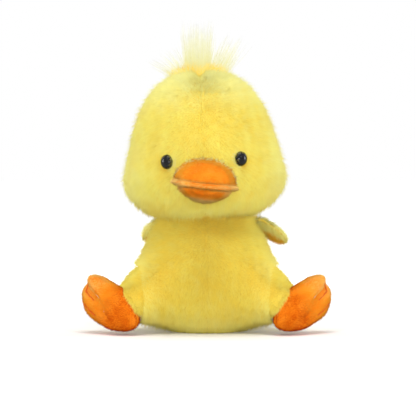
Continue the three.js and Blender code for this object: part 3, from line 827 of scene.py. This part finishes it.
leg = {
    "hip": np.array([38.144, -22.919, 27.4]), "hidden": 40, "turnDegrees": 31, "reach": 36.5, "inset": 3.0,
    "drop": 27.4 - 21.8, "bendFrom": 2, "bendTo": 24, "behind": (-22, -8),
}
foot = {
    "place": leg["hip"] + levelTurn(leg["turnDegrees"]) * leg["reach"] - up * leg["drop"], "turnDegrees": 35,
    "tipDegrees": 25, "length": 56, "width": 34, "thickness": 24, "inset": 0.6, "fullness": 0.8, "puff": 1.4,
    "around": 96, "rings": 34, "dentWidth": 3.0, "dentDepths": (0.26, 0.15), "creaseWidth": 0.9,
    "seamDepth": 0.7, "seamWidth": 0.9,
}
footOutline = [
    (-0.46, -0.04), (-0.4, -0.28), (-0.165, -0.49), (0.1, -0.53), (0.31, -0.49), (0.44, -0.33), (0.525, -0.1),
    (0.505, 0.14), (0.51, 0.32), (0.375, 0.41), (0.165, 0.42), (-0.045, 0.42), (-0.165, 0.34), (-0.33, 0.2),
]
stitchEnds = [((0.46, 0.1), (0.22, 0.02)), ((0.37, -0.3), (0.12, -0.33))]  # where the threads run
creaseEnds = [((0.44, 0.1), (0.18, 0.05)), ((0.15, -0.02), (-0.08, -0.22))]  # where the sole draws in


def smoothLoop(knots, count):  # a closed curve through the knots
    knots = np.array(knots)
    places = np.arange(count) * len(knots) / count
    at = places.astype(int)
    t = (places - at)[:, None]
    before, here, after, beyond = (knots[(at + shift) % len(knots)] for shift in (-1, 0, 1, 2))
    return 0.5 * (
        2 * here + (after - before) * t + (2 * before - 5 * here + 4 * after - beyond) * t ** 2
        + (3 * here - before - 3 * after + beyond) * t ** 3
    )


def creaseGaps(points):  # distance to the line of each crease of the sole
    gaps = []
    for toe, heel in np.array(creaseEnds) * np.array([foot["length"], foot["width"]]):
        along = heel - toe
        share = np.clip(((points[:, :2] - toe) @ along) / (along @ along), 0, 1)
        gaps.append(np.linalg.norm(points[:, :2] - toe - share[:, None] * along, axis=1))
    return gaps


def footPillow():  # length along X to the toes, width along Y and the sole facing +Z
    outline = smoothLoop(footOutline, foot["around"]) * np.array([foot["length"], foot["width"]])
    span = np.linalg.norm(outline, axis=1).max()
    half = foot["thickness"] / 2 - foot["inset"]
    rows = []
    for ring in range(1, foot["rings"]):
        rise = -math.pi / 2 + ring * math.pi / foot["rings"]
        share = math.cos(rise) ** foot["fullness"] * (1 - foot["inset"] / span)
        row = np.column_stack([outline * share, np.full(len(outline), half * math.sin(rise))])
        rows.append(row)
    poles = np.array([[0, 0, -half], [0, 0, half]])
    points = np.concatenate([*rows, poles])
    for gap, depth in zip(creaseGaps(points), foot["dentDepths"]):
        wide, narrow = (np.exp(-(gap / foot[size]) ** 2) for size in ("dentWidth", "creaseWidth"))
        points[:, 2] *= 1 - depth * wide - 0.5 * depth * narrow
    around = foot["around"]
    steps = [(i, (i + 1) % around) for i in range(around)]
    low, high, top = len(points) - 2, len(points) - 1, (len(rows) - 1) * around
    faces = [[r + i, r + j, r + around + j, r + around + i] for r in range(0, top, around) for i, j in steps]
    for i, j in steps:
        faces += [[low, j, i], [high, top + i, top + j]]
    return points, faces


def puffed(name, points, faces, pinned, cap, pressure=4.0):
    # Cloth blown up from inside at ten times the size, with the stitching held and the move capped.
    size = 10 * mm
    mesh = bpy.data.meshes.new(name)
    mesh.from_pydata((points * size).tolist(), [], faces)
    holder = linked(name, mesh)
    held = holder.vertex_groups.new(name="held")
    held.add(np.flatnonzero(pinned).tolist(), 1.0, "REPLACE")
    cloth = holder.modifiers.new("puff", "CLOTH")
    cloth.settings.vertex_group_mass = "held"
    cloth.settings.use_pressure = True
    cloth.settings.uniform_pressure_force = pressure
    cloth.settings.effector_weights.gravity = 0
    cloth.settings.tension_stiffness = 8
    cloth.settings.bending_stiffness = 0.3
    cloth.point_cache.frame_end = 20
    for step in range(1, cloth.point_cache.frame_end + 1):
        bpy.context.scene.frame_set(step)
    blown = holder.evaluated_get(bpy.context.evaluated_depsgraph_get())
    moved = np.empty(len(points) * 3)
    blown.data.vertices.foreach_get("co", moved)
    bpy.context.scene.frame_set(1)
    bpy.data.objects.remove(holder)
    shift = moved.reshape(-1, 3) / size - points
    reach = np.linalg.norm(shift, axis=1, keepdims=True)
    print(name, "puffed by up to", round(float(reach.max()), 2), "mm")
    return points + shift * np.minimum(1, cap / np.maximum(reach, 1e-9))


def footPlaced(points, side):
    turn, tip = foot["turnDegrees"], math.radians(foot["tipDegrees"])
    toeward = levelTurn(-turn) * math.cos(tip) + up * math.sin(tip)
    soleward = np.array([math.sin(math.radians(turn)), -math.cos(math.radians(turn)), 0])
    basis = np.array([toeward, np.cross(soleward, toeward), soleward])
    return (points @ basis + foot["place"]) * mm * np.array([side, 1, 1])


def footForm(side):
    points, faces = footPillow()
    pinned = (np.min(creaseGaps(points), axis=0) < 1.2) | (np.abs(points[:, 2]) < 0.8)
    points = puffed("foot_pad", points, faces, pinned, foot["puff"])
    triangles = [f[:3] for f in faces] + [[f[0], f[2], f[3]] for f in faces if len(f) == 4]
    form = formOf(points, np.array(triangles))
    seam = foot["seamDepth"] * np.exp(-(points[:, 2] / foot["seamWidth"]) ** 2)
    pucker = 0.25 * waves(points * np.array([1, 1, 0.15]), 5, 21) * np.exp(-(points[:, 2] / 4) ** 2)
    points = points - form["normals"] * (seam - pucker)[:, None]
    isSole = points[form["faces"]].mean(axis=1)[:, 2] > 0
    faces = form["faces"] if side > 0 else form["faces"][:, ::-1]
    return formOf(footPlaced(points, side), faces), isSole


def threadPiece(name, nodes, route, body):
    # Two plies twisted round each other along a route.
    thread = {"ply": 0.32, "twist": 0.3, "pitch": 2.2, "rings": 60, "sides": 6}
    count = thread["sides"]
    around = np.arange(count) * 2 * math.pi / count
    steps = np.linspace(0, 1, len(route))
    fine = np.linspace(0, 1, thread["rings"])
    line = np.stack([np.interp(fine, steps, part) for part in route.T], axis=1)
    for _ in range(3):
        line[1:-1] = (line[:-2] + 2 * line[1:-1] + line[2:]) / 4
    way = unit(np.gradient(line, axis=0))
    first = unit(np.cross(way, up))
    second = np.cross(way, first)
    reach = np.concatenate([[0], np.cumsum(np.linalg.norm(np.diff(line, axis=0), axis=1))]) / mm
    points, faces = [], []
    for ply in range(2):
        turn = 2 * math.pi * reach / thread["pitch"] + ply * math.pi
        aside = first * np.cos(turn)[:, None] + second * np.sin(turn)[:, None]
        middle = line + aside * thread["twist"] * mm
        start = len(points) * count
        end = start + (len(line) - 1) * count
        for ring in range(len(line)):
            spread = first[ring] * np.cos(around)[:, None] + second[ring] * np.sin(around)[:, None]
            points.append(middle[ring] + spread * thread["ply"] * mm)
        for low in range(start, end, count):
            for i in range(count):
                j = (i + 1) % count
                faces.append((low + i, low + j, low + count + j, low + count + i))
        faces += [tuple(range(start, start + count))[::-1], tuple(range(end, end + count))]
    mesh = bpy.data.meshes.new(name)
    mesh.from_pydata(np.concatenate(points).tolist(), [], faces)
    return addPiece(name, mesh, threadMaterial, body, "thread", nodes)


def threadLook(look):
    fibre = look.noise(0.35 * mm, 2.0, (1, 1, 4))
    base = look.mix(look.spread(fibre, 0.35, 0.65), colour(206, 84, 14), colour(226, 106, 24))
    return {"Base Color": base, "Normal": look.bump(fibre, 0.6, 0.15 * mm)}


threadMaterial = newLook("toe_thread", threadLook, Roughness=0.7, Specular_IOR_Level=0.2)


def makeLeg(end, side):
    rides = f"{end}_leg"
    hip = leg["hip"] * mm * np.array([side, 1, 1])
    ankle = foot["place"] * mm * np.array([side, 1, 1])
    nodes = [f"leg_cover_{end}", f"leg_stuffing_{end}", *footNodes[end]]
    form = tucked(fusedForm(f"leg_form_{end}", nodes, 2.0, 8, leg["inset"]))
    footSurface = Surfaces(f"foot_back_{end}", f"foot_sole_{end}")

    def keep(points, normals):
        beside = footDepth(points)
        # behind, the body's cover stands further off the leg
        under = -3 - 4 * ease(points[:, 1] / mm, *leg["behind"])
        shown = (points[:, 0] * side > leg["hidden"] * mm) & ((depthIn(hull, points) > under) | (beside < 8))
        return shown & (beside > 0.5)

    def trim(points):
        high = 1 - 0.3 * ease(points[:, 2] / mm, 25, 45)
        return (0.55 + 0.35 * ease(footSurface.gap(points), 3, 12)) * high

    def comb(points, normals):
        return unit(ankle - hip) * (ease(footSurface.gap(points), 3, 14) - 0.3)[:, None] - 0.6 * up

    skin = skinPiece(f"leg_skin_{end}", form, None, [f"leg_cover_{end}"],
                     lambda p: footDepth(p) > -2.5, backing)
    pile = {**longPile, "length": 6.5, "seed": 420 + 30 * side}
    # the leg's pile is painted deeper than the body's, painted shade on the hips
    fur = growFur(f"leg_fur_{end}", form, None, pile, bodyPile, keep, comb, trim,
                  shade=lambda p: bodyShade(p) + 0.5)
    near, far = (hip + unit(ankle - hip) * leg[size] * mm for size in ("bendFrom", "bendTo"))
    for piece in (skin, fur):  # their placement is baked into their meshes
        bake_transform(piece)
        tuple(near)
        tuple(far)

    form, isSole = footForm(side)
    for name, faces in (("sole", form["faces"][isSole]), ("back", form["faces"][~isSole])):
        skinPiece(f"foot_{name}_cover_{end}", {**form, "faces": faces}, rides, [f"foot_{name}_{end}"],
                  everywhere, velour, "velour", 0.8)

    def footLightAndShade(points):  # painted shade, deepest inside near the floor, and painted light, palest at the upper toe
        wide, high = np.abs(points[:, 0]) / mm, points[:, 2] / mm
        inner, low = 1 - ease(wide, 54, 86), 1 - ease(high, 4, 30)
        return inner * (1.3 + 0.5 * low) + 0.3 * low - 0.8 * ease(high, 22, 42) * ease(wide, 52, 75)
    growFur(f"foot_nap_{end}", form, rides, {**shortNap, "seed": 520 + 30 * side}, orangePile,
            lambda p, n: p[:, 2] > 1.2 * mm, oneWay(unit(ankle - hip) + 0.4 * up), shade=footLightAndShade,
            slot="velour")
    surface = treeOf(form["points"], form["faces"])
    for i, (toe, heel) in enumerate(np.array(stitchEnds) * np.array([foot["length"], foot["width"]])):
        flat = toe + np.linspace(-0.1, 1.1, 14)[:, None] * (heel - toe)
        above = footPlaced(np.column_stack([flat, np.full(len(flat), 12.0)]), side)
        hits = [surface.find_nearest(place)[:2] for place in above.tolist()]
        route = np.array([list(crownNotchShade + normal * 0.35 * mm) for crownNotchShade, normal in hits])
        threadPiece(f"toe_thread_{i + 1}_{end}", [f"toe_stitch_{i + 1}_{end}"], route, rides)


for end, side in sides.items():
    makeLeg(end, side)
print("legs done")


# Bill

def makeBill():
    parts = {
        "upper_bill": {"voxel": 0.8, "rounds": 8, "inset": 0.1, "fill": 0.9},
        "bill_edge": {"voxel": 0.6, "rounds": 4, "inset": -0.2, "fill": 1.0},
        "lower_bill": {"voxel": 0.8, "rounds": 8, "inset": 0.1, "fill": 0.9},
    }
    across = turnedY(turnedY(np.array([[1.0, 0, 0]]), bill["tiltDegrees"]), -head["rollDegrees"])[0]

    def comb(points, normals):
        own = billPlace(points)
        return own * np.array([1, 0, 0]) / 20 - up * 0.2 + np.array([0, -1, 0])

    def wispComb(points, normals):
        return billPlace(points) * np.array([-0.02, 0, -0.05]) + np.array([0, -1, 0])

    def wispKeep(points, normals):
        return (billPlace(points)[:, 2] > 0) & (depthIn(headForm, points) < 8)

    def shade(points):
        # Painted light along the edge band and at the lower bill's bottom rim; painted shade on the lower bill
        # under the band and as a dark line along the dome's upper border.
        own = billPlace(points)
        edge = np.exp(-((own[:, 2] + 2.1) / 2.4) ** 2)
        wide = np.abs(own[:, 0])
        under = (own[:, 2] < -4.5) * (0.3 - 1.4 * ease(-own[:, 2], 9, 14) - 1.0 * ease(wide, 9, 20))
        rim = 1.2 * (own[:, 2] > 1) * ease(billShare(points, 0), 0.84, 0.98)
        return under + rim - edge * (0.7 + 0.3 * ease(wide, 8, 16))
    for i, (name, part) in enumerate(parts.items()):
        form = fusedForm(f"{name}_form", [name], part["voxel"], part["rounds"], part["inset"])
        if name == "bill_edge":  # drawn out to a point at each corner
            own = billPlace(form["points"])
            flat = 0.6 * ease(np.abs(own[:, 0]), 13, 24) * (own[:, 2] + 2.1)
            shift = 0.05 * own[:, :1] * across - flat[:, None] * up
            form = formOf(form["points"] + shift * mm, form["faces"])
        if name == "lower_bill":  # fuller towards the corners of the mouth
            own = billPlace(form["points"])
            wider = own[:, 0] * (0.2 - 0.3 * ease(-own[:, 2], 5, 15))
            form = formOf(form["points"] + wider[:, None] * across * mm, form["faces"])
        skinPiece(f"{name}_cover", form, "head", [name], everywhere, velour, "velour", 0.7)
        growFur(f"{name}_nap", form, "head", {**shortNap, "length": 2.3, "seed": 610 + i}, orangePile,
                lambda p, n: depthIn(headForm, p) > -1, comb, shade=shade, slot="velour")
        if name == "upper_bill":  # wisps of the face's pile lie over the edge of the bill
            wisps = {**longPile, "density": 0.9, "length": 5, "width": 0.32, "leanDegrees": (40, 80)}
            wisps = {**wisps, "jitter": 0.5, "uneven": 0.45, "seed": 631}
            # painted light: the wisps are painted pale
            growFur("bill_wisps", form, "head", wisps, headPile, wispKeep, wispComb,
                    shade=lambda p: -1.0 * everywhere(p))


makeBill()
print("bill done")


# Wings, tail and neck

def makeWing(end, side):
    rides = f"{end}_wing"
    names = [f"wing_outer_{end}", f"wing_lining_{end}"]
    form = fusedForm(f"wing_form_{end}", names, 1.2, 6, 2.8)
    outer, inner = (nodeArrays(name)[0] for name in names)
    reach = np.linalg.norm(outer - neck["pivot"], axis=1)
    root, tip = outer[np.argmin(reach)], outer[np.argmax(reach)]
    along = unit(tip - root)
    over = unit(flatTo((up - along * along[2])[None], along[None]))[0]
    middle = (outer.mean(axis=0) + inner.mean(axis=0)) / 2
    panels = Surfaces(*names)

    # The low inner strip next to the body is golden: painted shade, of light bounced between the wing and the
    # body.
    def inWingShade(points, normals=None):
        low = (points - middle) @ over / mm < -0.6
        short = (points - tip) @ along / mm < -5
        return (panels.nearest(points) == 1) & low & short

    for name, pile, skin, slot, part in (
        (names[0], headPile, backing, "fur", lambda p, n=None: ~inWingShade(p)),
        (names[1], wingShadePile, wingShadeBacking, "lining", inWingShade),
    ):
        skinPiece(f"{name}_skin", form, rides, [name], part, skin, slot, 0.8)
        # both piles of the wing are painted paler all over, painted light
        fur = {**longPile, "length": 3.6, "density": 5, "seed": 700 + 30 * side + len(name)}
        growFur(f"{name}_fur", form, rides, fur, pile, lambda p, n: part(p) & (depthIn(hull, p) > 0.5),
                oneWay(along - 0.3 * up), slot=slot,
                trim=lambda p: 1.7 - 0.7 * ease(np.linalg.norm(p - root, axis=1) / mm, 4, 16),
                shade=lambda p: -0.5 * everywhere(p))


for end, side in sides.items():
    makeWing(end, side)

tailForm = fusedForm("tail_form", ["tail"], 1.5, 6, 2.0)
skinPiece("tail_skin", tailForm, "body", ["tail"], everywhere, backing)
growFur("tail_fur", tailForm, "body", {**longPile, "seed": 801}, bodyPile, lambda p, n: depthIn(hull, p) > 1,
        oneWay(np.array([0, 0.8, 0.3])))
neckForm = fusedForm("neck_form", ["neck_ball"], 1.5, 6, 1.0)
skinPiece("neck_skin", neckForm, "neck", ["neck_ball"], everywhere, backing)
# the neck's pile is painted deeper all over, painted shade under the head
growFur("neck_fur", neckForm, "neck", {**longPile, "density": 2, "length": 4.5, "seed": 811}, bodyPile,
        lambda p, n: np.abs(p[:, 2] - 97 * mm) < 12 * mm, oneWay(-up),
        stand=lambda p: 0.6 * everywhere(p), shade=lambda p: 0.6 * everywhere(p))
print("wings, tail and neck done")


# Tuft

tuft = {
    "seed": 901, "width": 0.13, "bends": 8, "back": -3.0,
    "falls": {"middle": 0.1, "right": -0.2, "left": 0.3, "root": 0.2},  # how far each bundle bends over
    "bundles": {
        "middle": {"count": 1300, "from": -16, "to": 3, "leanDegrees": (-7, 5), "length": (14, 47)},
        "right": {"count": 330, "from": -2, "to": 13, "leanDegrees": (14, 46), "length": (12, 40)},
        "left": {"count": 300, "from": -24, "to": -8, "leanDegrees": (-60, -14), "length": (10, 32)},
        "root": {"count": 2200, "from": -24, "to": 12, "leanDegrees": (-40, 36), "length": (6, 14)},
    },
}


def makeTuft():
    rng = np.random.default_rng(tuft["seed"])
    crown = treeOf(headForm["points"], headForm["faces"])
    lines, roots = [], []
    for name, bundle in tuft["bundles"].items():
        count = bundle["count"]
        share = rng.beta(2, 2, count)
        x = (bundle["from"] + (bundle["to"] - bundle["from"]) * share) * mm
        y = tuft["back"] * mm + rng.normal(0, 2.2, count) * mm
        root = np.array([list(crown.ray_cast((a, b, 0.3), (0, 0, -1))[0]) for a, b in zip(x, y)]) - up * mm
        low, high = bundle["leanDegrees"]
        lean = np.radians(low + (high - low) * np.clip(share + 0.12 * rng.normal(size=count), 0, 1))
        fore = 0.24 * rng.normal(size=count)
        short, long = bundle["length"]
        length = (short + (long - short) * rng.beta(1.3, 1.5, count)) * mm
        line = [root]
        for bend in range(tuft["bends"]):
            now = lean * (1 + tuft["falls"][name] * bend / tuft["bends"]) + 0.05 * rng.normal(size=count)
            way = unit(np.stack([np.sin(now), fore, np.cos(now)], axis=1))
            line.append(line[-1] + way * (length / tuft["bends"])[:, None])
        lines.append(np.stack(line, axis=1))
        roots.append(root)
    line, root = np.concatenate(lines), np.concatenate(roots)
    leader = clumpOf(line[:, -1], 10, rng)
    pull = (np.linspace(0, 1, tuft["bends"] + 1) ** 2 * 0.35)[None, :, None]
    line = line + (line[leader] + (root - root[leader])[:, None, :] * 0.3 - line) * pull
    facing = np.array([0, -1, 0]) + 0.5 * rng.normal(size=(len(line), 3))
    side = unit(np.cross(line[:, -1] - line[:, 0], facing))
    width = tuft["width"] * mm / 2 * rng.uniform(0.7, 1.2, len(line))
    # the root bundle takes painted shade, golden at the tuft's base
    deep = np.repeat([0.9 * (name == "root") for name in tuft["bundles"]], [len(part) for part in roots])
    mesh = strandMesh("tuft", line, side, width, rng, leader, deep)
    piece = addPiece("tuft", mesh, tuftPile, "head", "tuft", ["crown_tuft"])
    piece.visible_diffuse = False  # bounced light passes it by, so that it stays pale
    letLightIn(piece)


makeTuft()
print("tuft done")


# Eyes

def eyeLook(look):
    return {"Base Color": look.mix(look.noise(2 * mm), colour(6, 6, 9), colour(12, 12, 18))}


eyeMaterial = newLook("black_eye", eyeLook, Roughness=0.08, Specular_IOR_Level=0.25)
for end in sides:
    form = fusedForm(f"eye_form_{end}", [f"eye_{end}"], 0.4, 6, 0.0)
    skinPiece(f"eye_dome_{end}", form, "head", [f"eye_{end}"], everywhere, eyeMaterial, "eye", 0.5)
print("eyes done")


# Inside: stuffing, the bag of pellets and the lock washers

def fibreLook(look):
    fibre = look.noise(0.6 * mm, 4.0, (1, 1, 0.25))
    lump = look.noise(9 * mm)
    base = look.mix(look.spread(lump, 0.35, 0.65), colour(238, 238, 230), colour(248, 248, 244))
    base = base * look.spread(fibre, 0.3, 0.7, 0.9, 1.02)
    return {"Base Color": base, "Normal": look.bump(fibre, 0.8, 0.5 * mm)}


def bagLook(look):
    weave = look.noise(0.5 * mm, 2.0)
    beads = look.node("ShaderNodeTexVoronoi", {}, {"Scale": 1 / (3.2 * mm)})
    # painted shade: the cloth is darker in the dips between the pellets
    base = look.mix(look.spread(beads, 0.1, 0.7), colour(226, 230, 234), colour(204, 210, 214))
    base = base * look.spread(weave, 0.3, 0.7, 0.92, 1.03)
    return {"Base Color": base, "Normal": look.bump(1 - beads, 0.7, 0.8 * mm)}


def washerLook(look):
    flow = look.noise(1.5 * mm, 2.0, (1, 1, 3))
    base = look.mix(look.spread(flow, 0.3, 0.7), colour(228, 228, 222), colour(236, 236, 232))
    return {"Base Color": base, "Normal": look.bump(flow, 0.15, 0.1 * mm)}


fibre = newLook("white_fibre", fibreLook, Roughness=0.95, Specular_IOR_Level=0.1)
bagCloth = newLook("pellet_cloth", bagLook, Roughness=0.8, Specular_IOR_Level=0.2)
washerPlastic = newLook("washer_plastic", washerLook, Roughness=0.45)


def makeFilling(node, body, voxel, inset, look=fibre, slot="stuffing"):
    form = fusedForm(f"{node}_form", [node], voxel, 3, inset)
    lumps = waves(form["points"], 11 * mm, 31) - 1
    points = form["points"] + form["normals"] * (0.5 * lumps * mm)[:, None]
    mesh = bpy.data.meshes.new(f"{node}_fill")
    mesh.from_pydata(points.tolist(), [], form["faces"].tolist())
    addPiece(f"{node}_fill", mesh, look, body, slot, [node])


makeFilling("head_stuffing", "head", 3.0, 0.8)
makeFilling("bill_stuffing", "head", 1.0, 0.4)
makeFilling("body_stuffing", "body", 3.0, 0.8)
makeFilling("pellet_bag", "body", 1.6, 0.5, bagCloth, "pellets")
for end in sides:
    makeFilling(f"leg_stuffing_{end}", f"{end}_leg", 2.0, 0.6)
    makeFilling(f"foot_stuffing_{end}", f"{end}_leg", 1.2, 0.6)
    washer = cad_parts[f"eye_washer_{end}"]
    washer.material_slots[0].material = washerPlastic
print("inside done")


# Studio

def paperLook(look):
    seen = look.node("ShaderNodeLightPath", output=0)
    place = look.node("ShaderNodeTexCoord", output=3)
    reach = look.node("ShaderNodeVectorMath", {"operation": "LENGTH"}, {0: place}, 1)
    glow = look.spread(reach, 0.16, 0.5, 0.02, 0.7)
    return {
        "Base Color": look.mix(look.noise(3 * mm), colour(250, 250, 249), colour(254, 253, 252)),
        "Emission Color": look.mix(seen * glow, (0, 0, 0, 1), (1, 1, 1, 1)),
    }


def makeStudio():
    half = 4.0
    mesh = bpy.data.meshes.new("studio_floor")
    corners = [(-half, -half, 0), (half, -half, 0), (half, half, 0), (-half, half, 0)]
    mesh.from_pydata(corners, [], [(0, 1, 2, 3)])
    paper = newLook("studio_paper", paperLook, Roughness=0.9, Specular_IOR_Level=0.1, Emission_Strength=1.0)
    mesh.materials.append(paper)
    linked("studio_floor", mesh)

    world = bpy.data.worlds.new("studio")
    bpy.context.scene.world = world
    world.use_nodes = True
    sky = Look(world.node_tree)
    seen = sky.node("ShaderNodeLightPath", output=0)
    for ray in (3, 6):  # seen in gloss and through glass as well
        other = sky.node("ShaderNodeLightPath", output=ray)
        seen = sky.node("ShaderNodeMath", {"operation": "MAXIMUM"}, {0: seen, 1: other})
    strength = 0.3 + seen * 0.7
    background = world.node_tree.nodes["Background"]
    background.inputs["Color"].default_value = (1, 1, 1, 1)
    world.node_tree.links.new(strength.socket, background.inputs["Strength"])

    lamps = {
        "key": {"place": (-0.55, -1.1, 1.15), "size": (0.1, 0.3), "power": 2.6},
        "fill": {"place": (0.8, -1.1, 0.9), "size": (0.1, 0.3), "power": 2.4},
        "low": {"place": (0.05, -1.4, 0.12), "size": (0.6, 0.2), "power": 6.6},
        "top": {"place": (0.0, -0.35, 1.45), "size": (0.8, 0.6), "power": 9.8},
        "side_left": {"place": (-1.25, 0.0, 0.3), "size": (0.12, 0.5), "power": 5.0},
        "side_right": {"place": (1.25, 0.0, 0.3), "size": (0.12, 0.5), "power": 5.0},
        "back_left": {"place": (-1.1, 0.9, 0.8), "size": (0.5, 0.5), "power": 5.0},
        "back_right": {"place": (1.1, 0.9, 0.8), "size": (0.5, 0.5), "power": 5.0},
    }
    for name, lamp in lamps.items():
        light = bpy.data.lights.new(name, "AREA")
        light.energy = lamp["power"]
        light.shape = "RECTANGLE"
        light.size, light.size_y = lamp["size"]
        holder = linked(name, light)
        holder.location = lamp["place"]
        aim = Vector((0, 0, 0.1)) - Vector(lamp["place"])
        holder.rotation_euler = aim.to_track_quat("-Z", "Y").to_euler()


def makeCamera():
    view = {
        "distance": 1.5, "heightDegrees": 6.0, "pixel": 0.75 * mm, "aim": (0, -0.038, 0),
        "aimPixel": (206.5, 333.7), "frame": 416,
    }
    angle = math.radians(view["heightDegrees"])
    back = Vector((0, -math.cos(angle), math.sin(angle)))
    upward = Vector((0, math.sin(angle), math.cos(angle)))
    middle = view["frame"] / 2
    place = Vector(view["aim"]) + back * view["distance"]
    target = Vector(view["aim"]) + upward * (view["aimPixel"][1] - middle) * view["pixel"]
    target.x += (middle - view["aimPixel"][0]) * view["pixel"]
    lens = bpy.data.cameras.new("camera")
    lens.sensor_fit = "HORIZONTAL"
    lens.angle = 2 * math.atan(middle * view["pixel"] / view["distance"])
    lens.clip_start = 0.05
    camera = linked("camera", lens)
    camera.location = place
    camera.rotation_euler = (target - place).to_track_quat("-Z", "Y").to_euler()
    bpy.context.scene.camera = camera


makeStudio()
makeCamera()
bpy.context.scene.view_settings.view_transform = "Standard"
print("studio and camera set")
